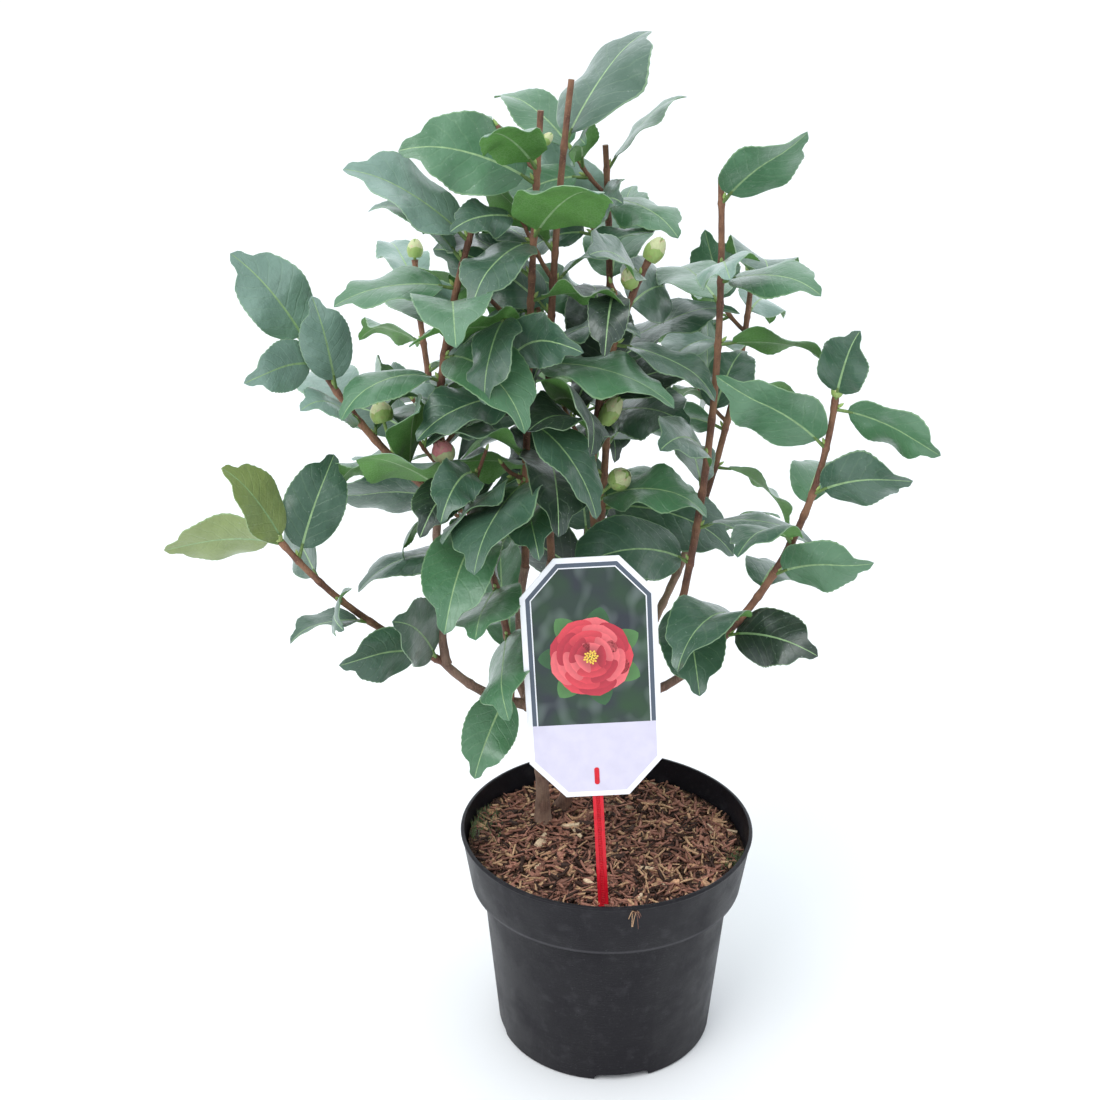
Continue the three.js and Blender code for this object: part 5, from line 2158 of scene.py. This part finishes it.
class PlantSettings(bpy.types.PropertyGroup):
    leaf_wave: length("Leaf wave", 3.8, "How far a leaf's margin waves up and down", 6)
    leaf_thickness: length("Leaf thickness", 0.45, "Thickness of a leaf's blade", 1.5)
    leaf_tooth: length("Leaf teeth", 0.4, "Depth of the teeth of a leaf's margin", 2)
    leaf_fold: FloatProperty(
        name="Leaf fold",
        description="How far each half of a leaf is folded up along its midrib",
        default=math.radians(13),
        subtype="ANGLE",
    )
    leaf_twist: FloatProperty(
        name="Leaf twist",
        description="The most that a leaf turns about its midrib from foot to tip",
        default=math.radians(20),
        subtype="ANGLE",
    )
    leaf_roughness: share("Leaf roughness", 0.4, "Roughness of a leaf's upper side")
    leaf_wax: share("Leaf wax", 0.65, "Strength of the waxy coat on a leaf's upper side")
    bark_relief: length("Bark relief", 0.3, "Height of the bark's ridges", 1)
    # The darkest green goes mostly to leaves deep in the crown as painted shade, and the grey green to
    # the outermost as painted sheen.
    leaf_dark: colour("#11281a", "the darkest leaves")
    leaf_mid: colour("#32543f", "most leaves")
    leaf_grey: colour("#6d8a7c", "the greyer leaves")
    leaf_fresh: colour("#44704c", "the freshest leaves")
    leaf_under: colour("#52803c", "the leaves' undersides")
    leaf_young: colour("#7d8d4c", "this spring's leaves")
    leaf_specks: colour("#b9c4c0", "the dried water spots on the leaves")
    leaf_rib: colour("#98b985", "the leaves' midribs")
    leaf_stalk: colour("#6f8a4c", "the leaves' stalks")
    bark: colour("#88695a", "the stems' bark")
    bark_pale: colour("#a08774", "the weathered bark")
    shoot: colour("#7c5343", "the young shoots' bark")
    shoot_pale: colour("#b08467", "the palest bark of the young shoots")
    cut_wood: colour("#9a7f68", "the pruned ends")
    bud: colour("#9fbb6c", "the buds' scales")
    bud_pale: colour("#cdd3a0", "the buds' topmost scales")
    petal: colour("#e8949a", "the petals that show")


class StageSettings(bpy.types.PropertyGroup):
    floor: colour("#f2f2f2", "the floor")
    sky: colour("#ecf2f8", "the soft light from all round")
    sky_strength: FloatProperty(
        name="Soft light", description="Strength of the light from the front", default=0.6, min=0.0
    )
    key_strength: FloatProperty(
        name="Key light", description="Power of the main lamp in watts", default=26.0, min=0.0
    )
    back_strength: FloatProperty(
        name="Back light",
        description="Strength of the soft light from above and behind",
        default=1.8,
        min=0.0,
    )


GROUPS = {
    "camellia_pot": PotSettings,
    "camellia_mulch": MulchSettings,
    "camellia_label": LabelSettings,
    "camellia_plant": PlantSettings,
    "camellia_stage": StageSettings,
}

# ---- Stage ----


def add_lamp(watts):
    """The main light: square and soft, from the front left."""
    light = bpy.data.lights.new("key_light", "AREA")
    light.shape = "SQUARE"
    light.size = LAMP.size * MM
    light.energy = watts
    lamp = bpy.data.objects.new("key_light", light)
    bpy.context.scene.collection.objects.link(lamp)
    lamp.location = Vector(LAMP.place) * MM
    way = Vector(LAMP.aim) - Vector(LAMP.place)
    lamp.rotation_euler = way.to_track_quat("-Z", "Y").to_euler()
    lamp.visible_camera = False


def make_floor(settings):
    bm = bmesh.new()
    size = Matrix.Diagonal((2 * FLOOR.half, 2 * FLOOR.half, FLOOR.depth, 1))
    bmesh.ops.create_cube(bm, size=1, matrix=Matrix.Translation((0, 0, -FLOOR.depth / 2)) @ size)
    rounded(bm, bm.edges, FLOOR.seam)
    bmesh.ops.scale(bm, vec=(MM, MM, MM), verts=bm.verts)
    as_object(bm, "studio_floor", [floor_paint(settings)])


def make_air(settings):
    """The soft light from all round, strongest from above and behind."""
    world = bpy.data.worlds.new("studio")
    world.use_nodes = True
    tree = world.node_tree
    way = add(tree, "TexCoord").outputs["Generated"]
    rise = add(tree, "VectorMath", {"operation": "DOT_PRODUCT"}, way, SKY.towards).outputs["Value"]
    strengths = (settings.sky_strength, settings.back_strength)
    glow = add(tree, "MapRange", None, rise, SKY.darkest, 1.0, *strengths).outputs[0]
    air = tree.nodes["Background"].inputs
    feed(tree, air["Color"], settings.sky)
    feed(tree, air["Strength"], glow)
    bpy.context.scene.world = world


def add_camera():
    lens = bpy.data.cameras.new("studio_camera")
    lens.lens = CAMERA.lens
    lens.sensor_width = CAMERA.sensor
    camera = bpy.data.objects.new("studio_camera", lens)
    bpy.context.scene.collection.objects.link(camera)
    camera.location = Vector(CAMERA.place) * MM
    camera.rotation_euler = (math.radians(CAMERA.tilt), 0, 0)
    bpy.context.scene.camera = camera


def make_stage(settings):
    """The floor, the light and the camera. Colours are shown as they are."""
    make_floor(settings)
    make_air(settings)
    add_lamp(settings.key_strength)
    add_camera()
    bpy.context.scene.view_settings.view_transform = "Standard"


# ---- Operators, panel and run ----


class CAMELLIA_OT_pot(bpy.types.Operator):
    """Turn the nursery pot, cut its drain notches and give it its plastic"""

    bl_idname = "camellia.pot"
    bl_label = "Nursery pot"

    def execute(self, context):
        make_pot(context.scene.camellia_pot)
        return {"FINISHED"}


class CAMELLIA_OT_mulch(bpy.types.Operator):
    """Fill the pot with peat, bark chips, bark fibres and moss"""

    bl_idname = "camellia.mulch"
    bl_label = "Mulch"

    def execute(self, context):
        settings = context.scene.camellia_mulch
        make_soil_bed(settings)
        make_chips(settings)
        make_shreds(settings)
        make_moss(settings)
        return {"FINISHED"}


class CAMELLIA_OT_label(bpy.types.Operator):
    """Print the plant label and mould its stick"""

    bl_idname = "camellia.label"
    bl_label = "Plant label"

    def execute(self, context):
        settings = context.scene.camellia_label
        make_card(settings)
        make_stick(settings)
        return {"FINISHED"}


class CAMELLIA_OT_stems(bpy.types.Operator):
    """Cover the trunk, the second stem and the boughs in bark"""

    bl_idname = "camellia.stems"
    bl_label = "Stems and boughs"

    def execute(self, context):
        make_stems(context.scene.camellia_plant)
        return {"FINISHED"}


class CAMELLIA_OT_shoots(bpy.types.Operator):
    """Grow the leafy shoots with their twigs, leaves and buds"""

    bl_idname = "camellia.shoots"
    bl_label = "Shoots, leaves and buds"

    def execute(self, context):
        settings = context.scene.camellia_plant
        shoots = grow_plant()
        make_shoot_bark(shoots, settings)
        make_buds(shoots, settings)
        materials = leaf_materials(settings)
        for shoot in shoots:
            make_foliage(shoot, settings, materials)
        return {"FINISHED"}


class CAMELLIA_OT_stage(bpy.types.Operator):
    """Set up the floor, the soft light and the camera"""

    bl_idname = "camellia.stage"
    bl_label = "Stage"

    def execute(self, context):
        make_stage(context.scene.camellia_stage)
        return {"FINISHED"}


class CAMELLIA_PT_panel(bpy.types.Panel):
    bl_label = "Potted camellia"
    bl_space_type = "VIEW_3D"
    bl_region_type = "UI"
    bl_category = "Camellia"

    def draw(self, context):
        for operator in OPERATORS:
            self.layout.operator(operator.bl_idname)
        for name, group in GROUPS.items():
            box = self.layout.box()
            box.label(text=name.replace("_", " ").capitalize())
            for setting in group.__annotations__:
                box.prop(getattr(context.scene, name), setting)


OPERATORS = (
    CAMELLIA_OT_pot,
    CAMELLIA_OT_mulch,
    CAMELLIA_OT_label,
    CAMELLIA_OT_stems,
    CAMELLIA_OT_shoots,
    CAMELLIA_OT_stage,
)


def register():
    for one in (*GROUPS.values(), *OPERATORS, CAMELLIA_PT_panel):
        bpy.utils.register_class(one)
    for name, group in GROUPS.items():
        setattr(bpy.types.Scene, name, PointerProperty(type=group))


def unregister():
    for name in GROUPS:
        delattr(bpy.types.Scene, name)
    for one in (CAMELLIA_PT_panel, *reversed(OPERATORS), *reversed(GROUPS.values())):
        bpy.utils.unregister_class(one)


def main():
    register()
    bpy.ops.camellia.pot()
    bpy.ops.camellia.mulch()
    bpy.ops.camellia.label()
    bpy.ops.camellia.stems()
    bpy.ops.camellia.shoots()
    bpy.ops.camellia.stage()


if __name__ == "__main__":
    main()
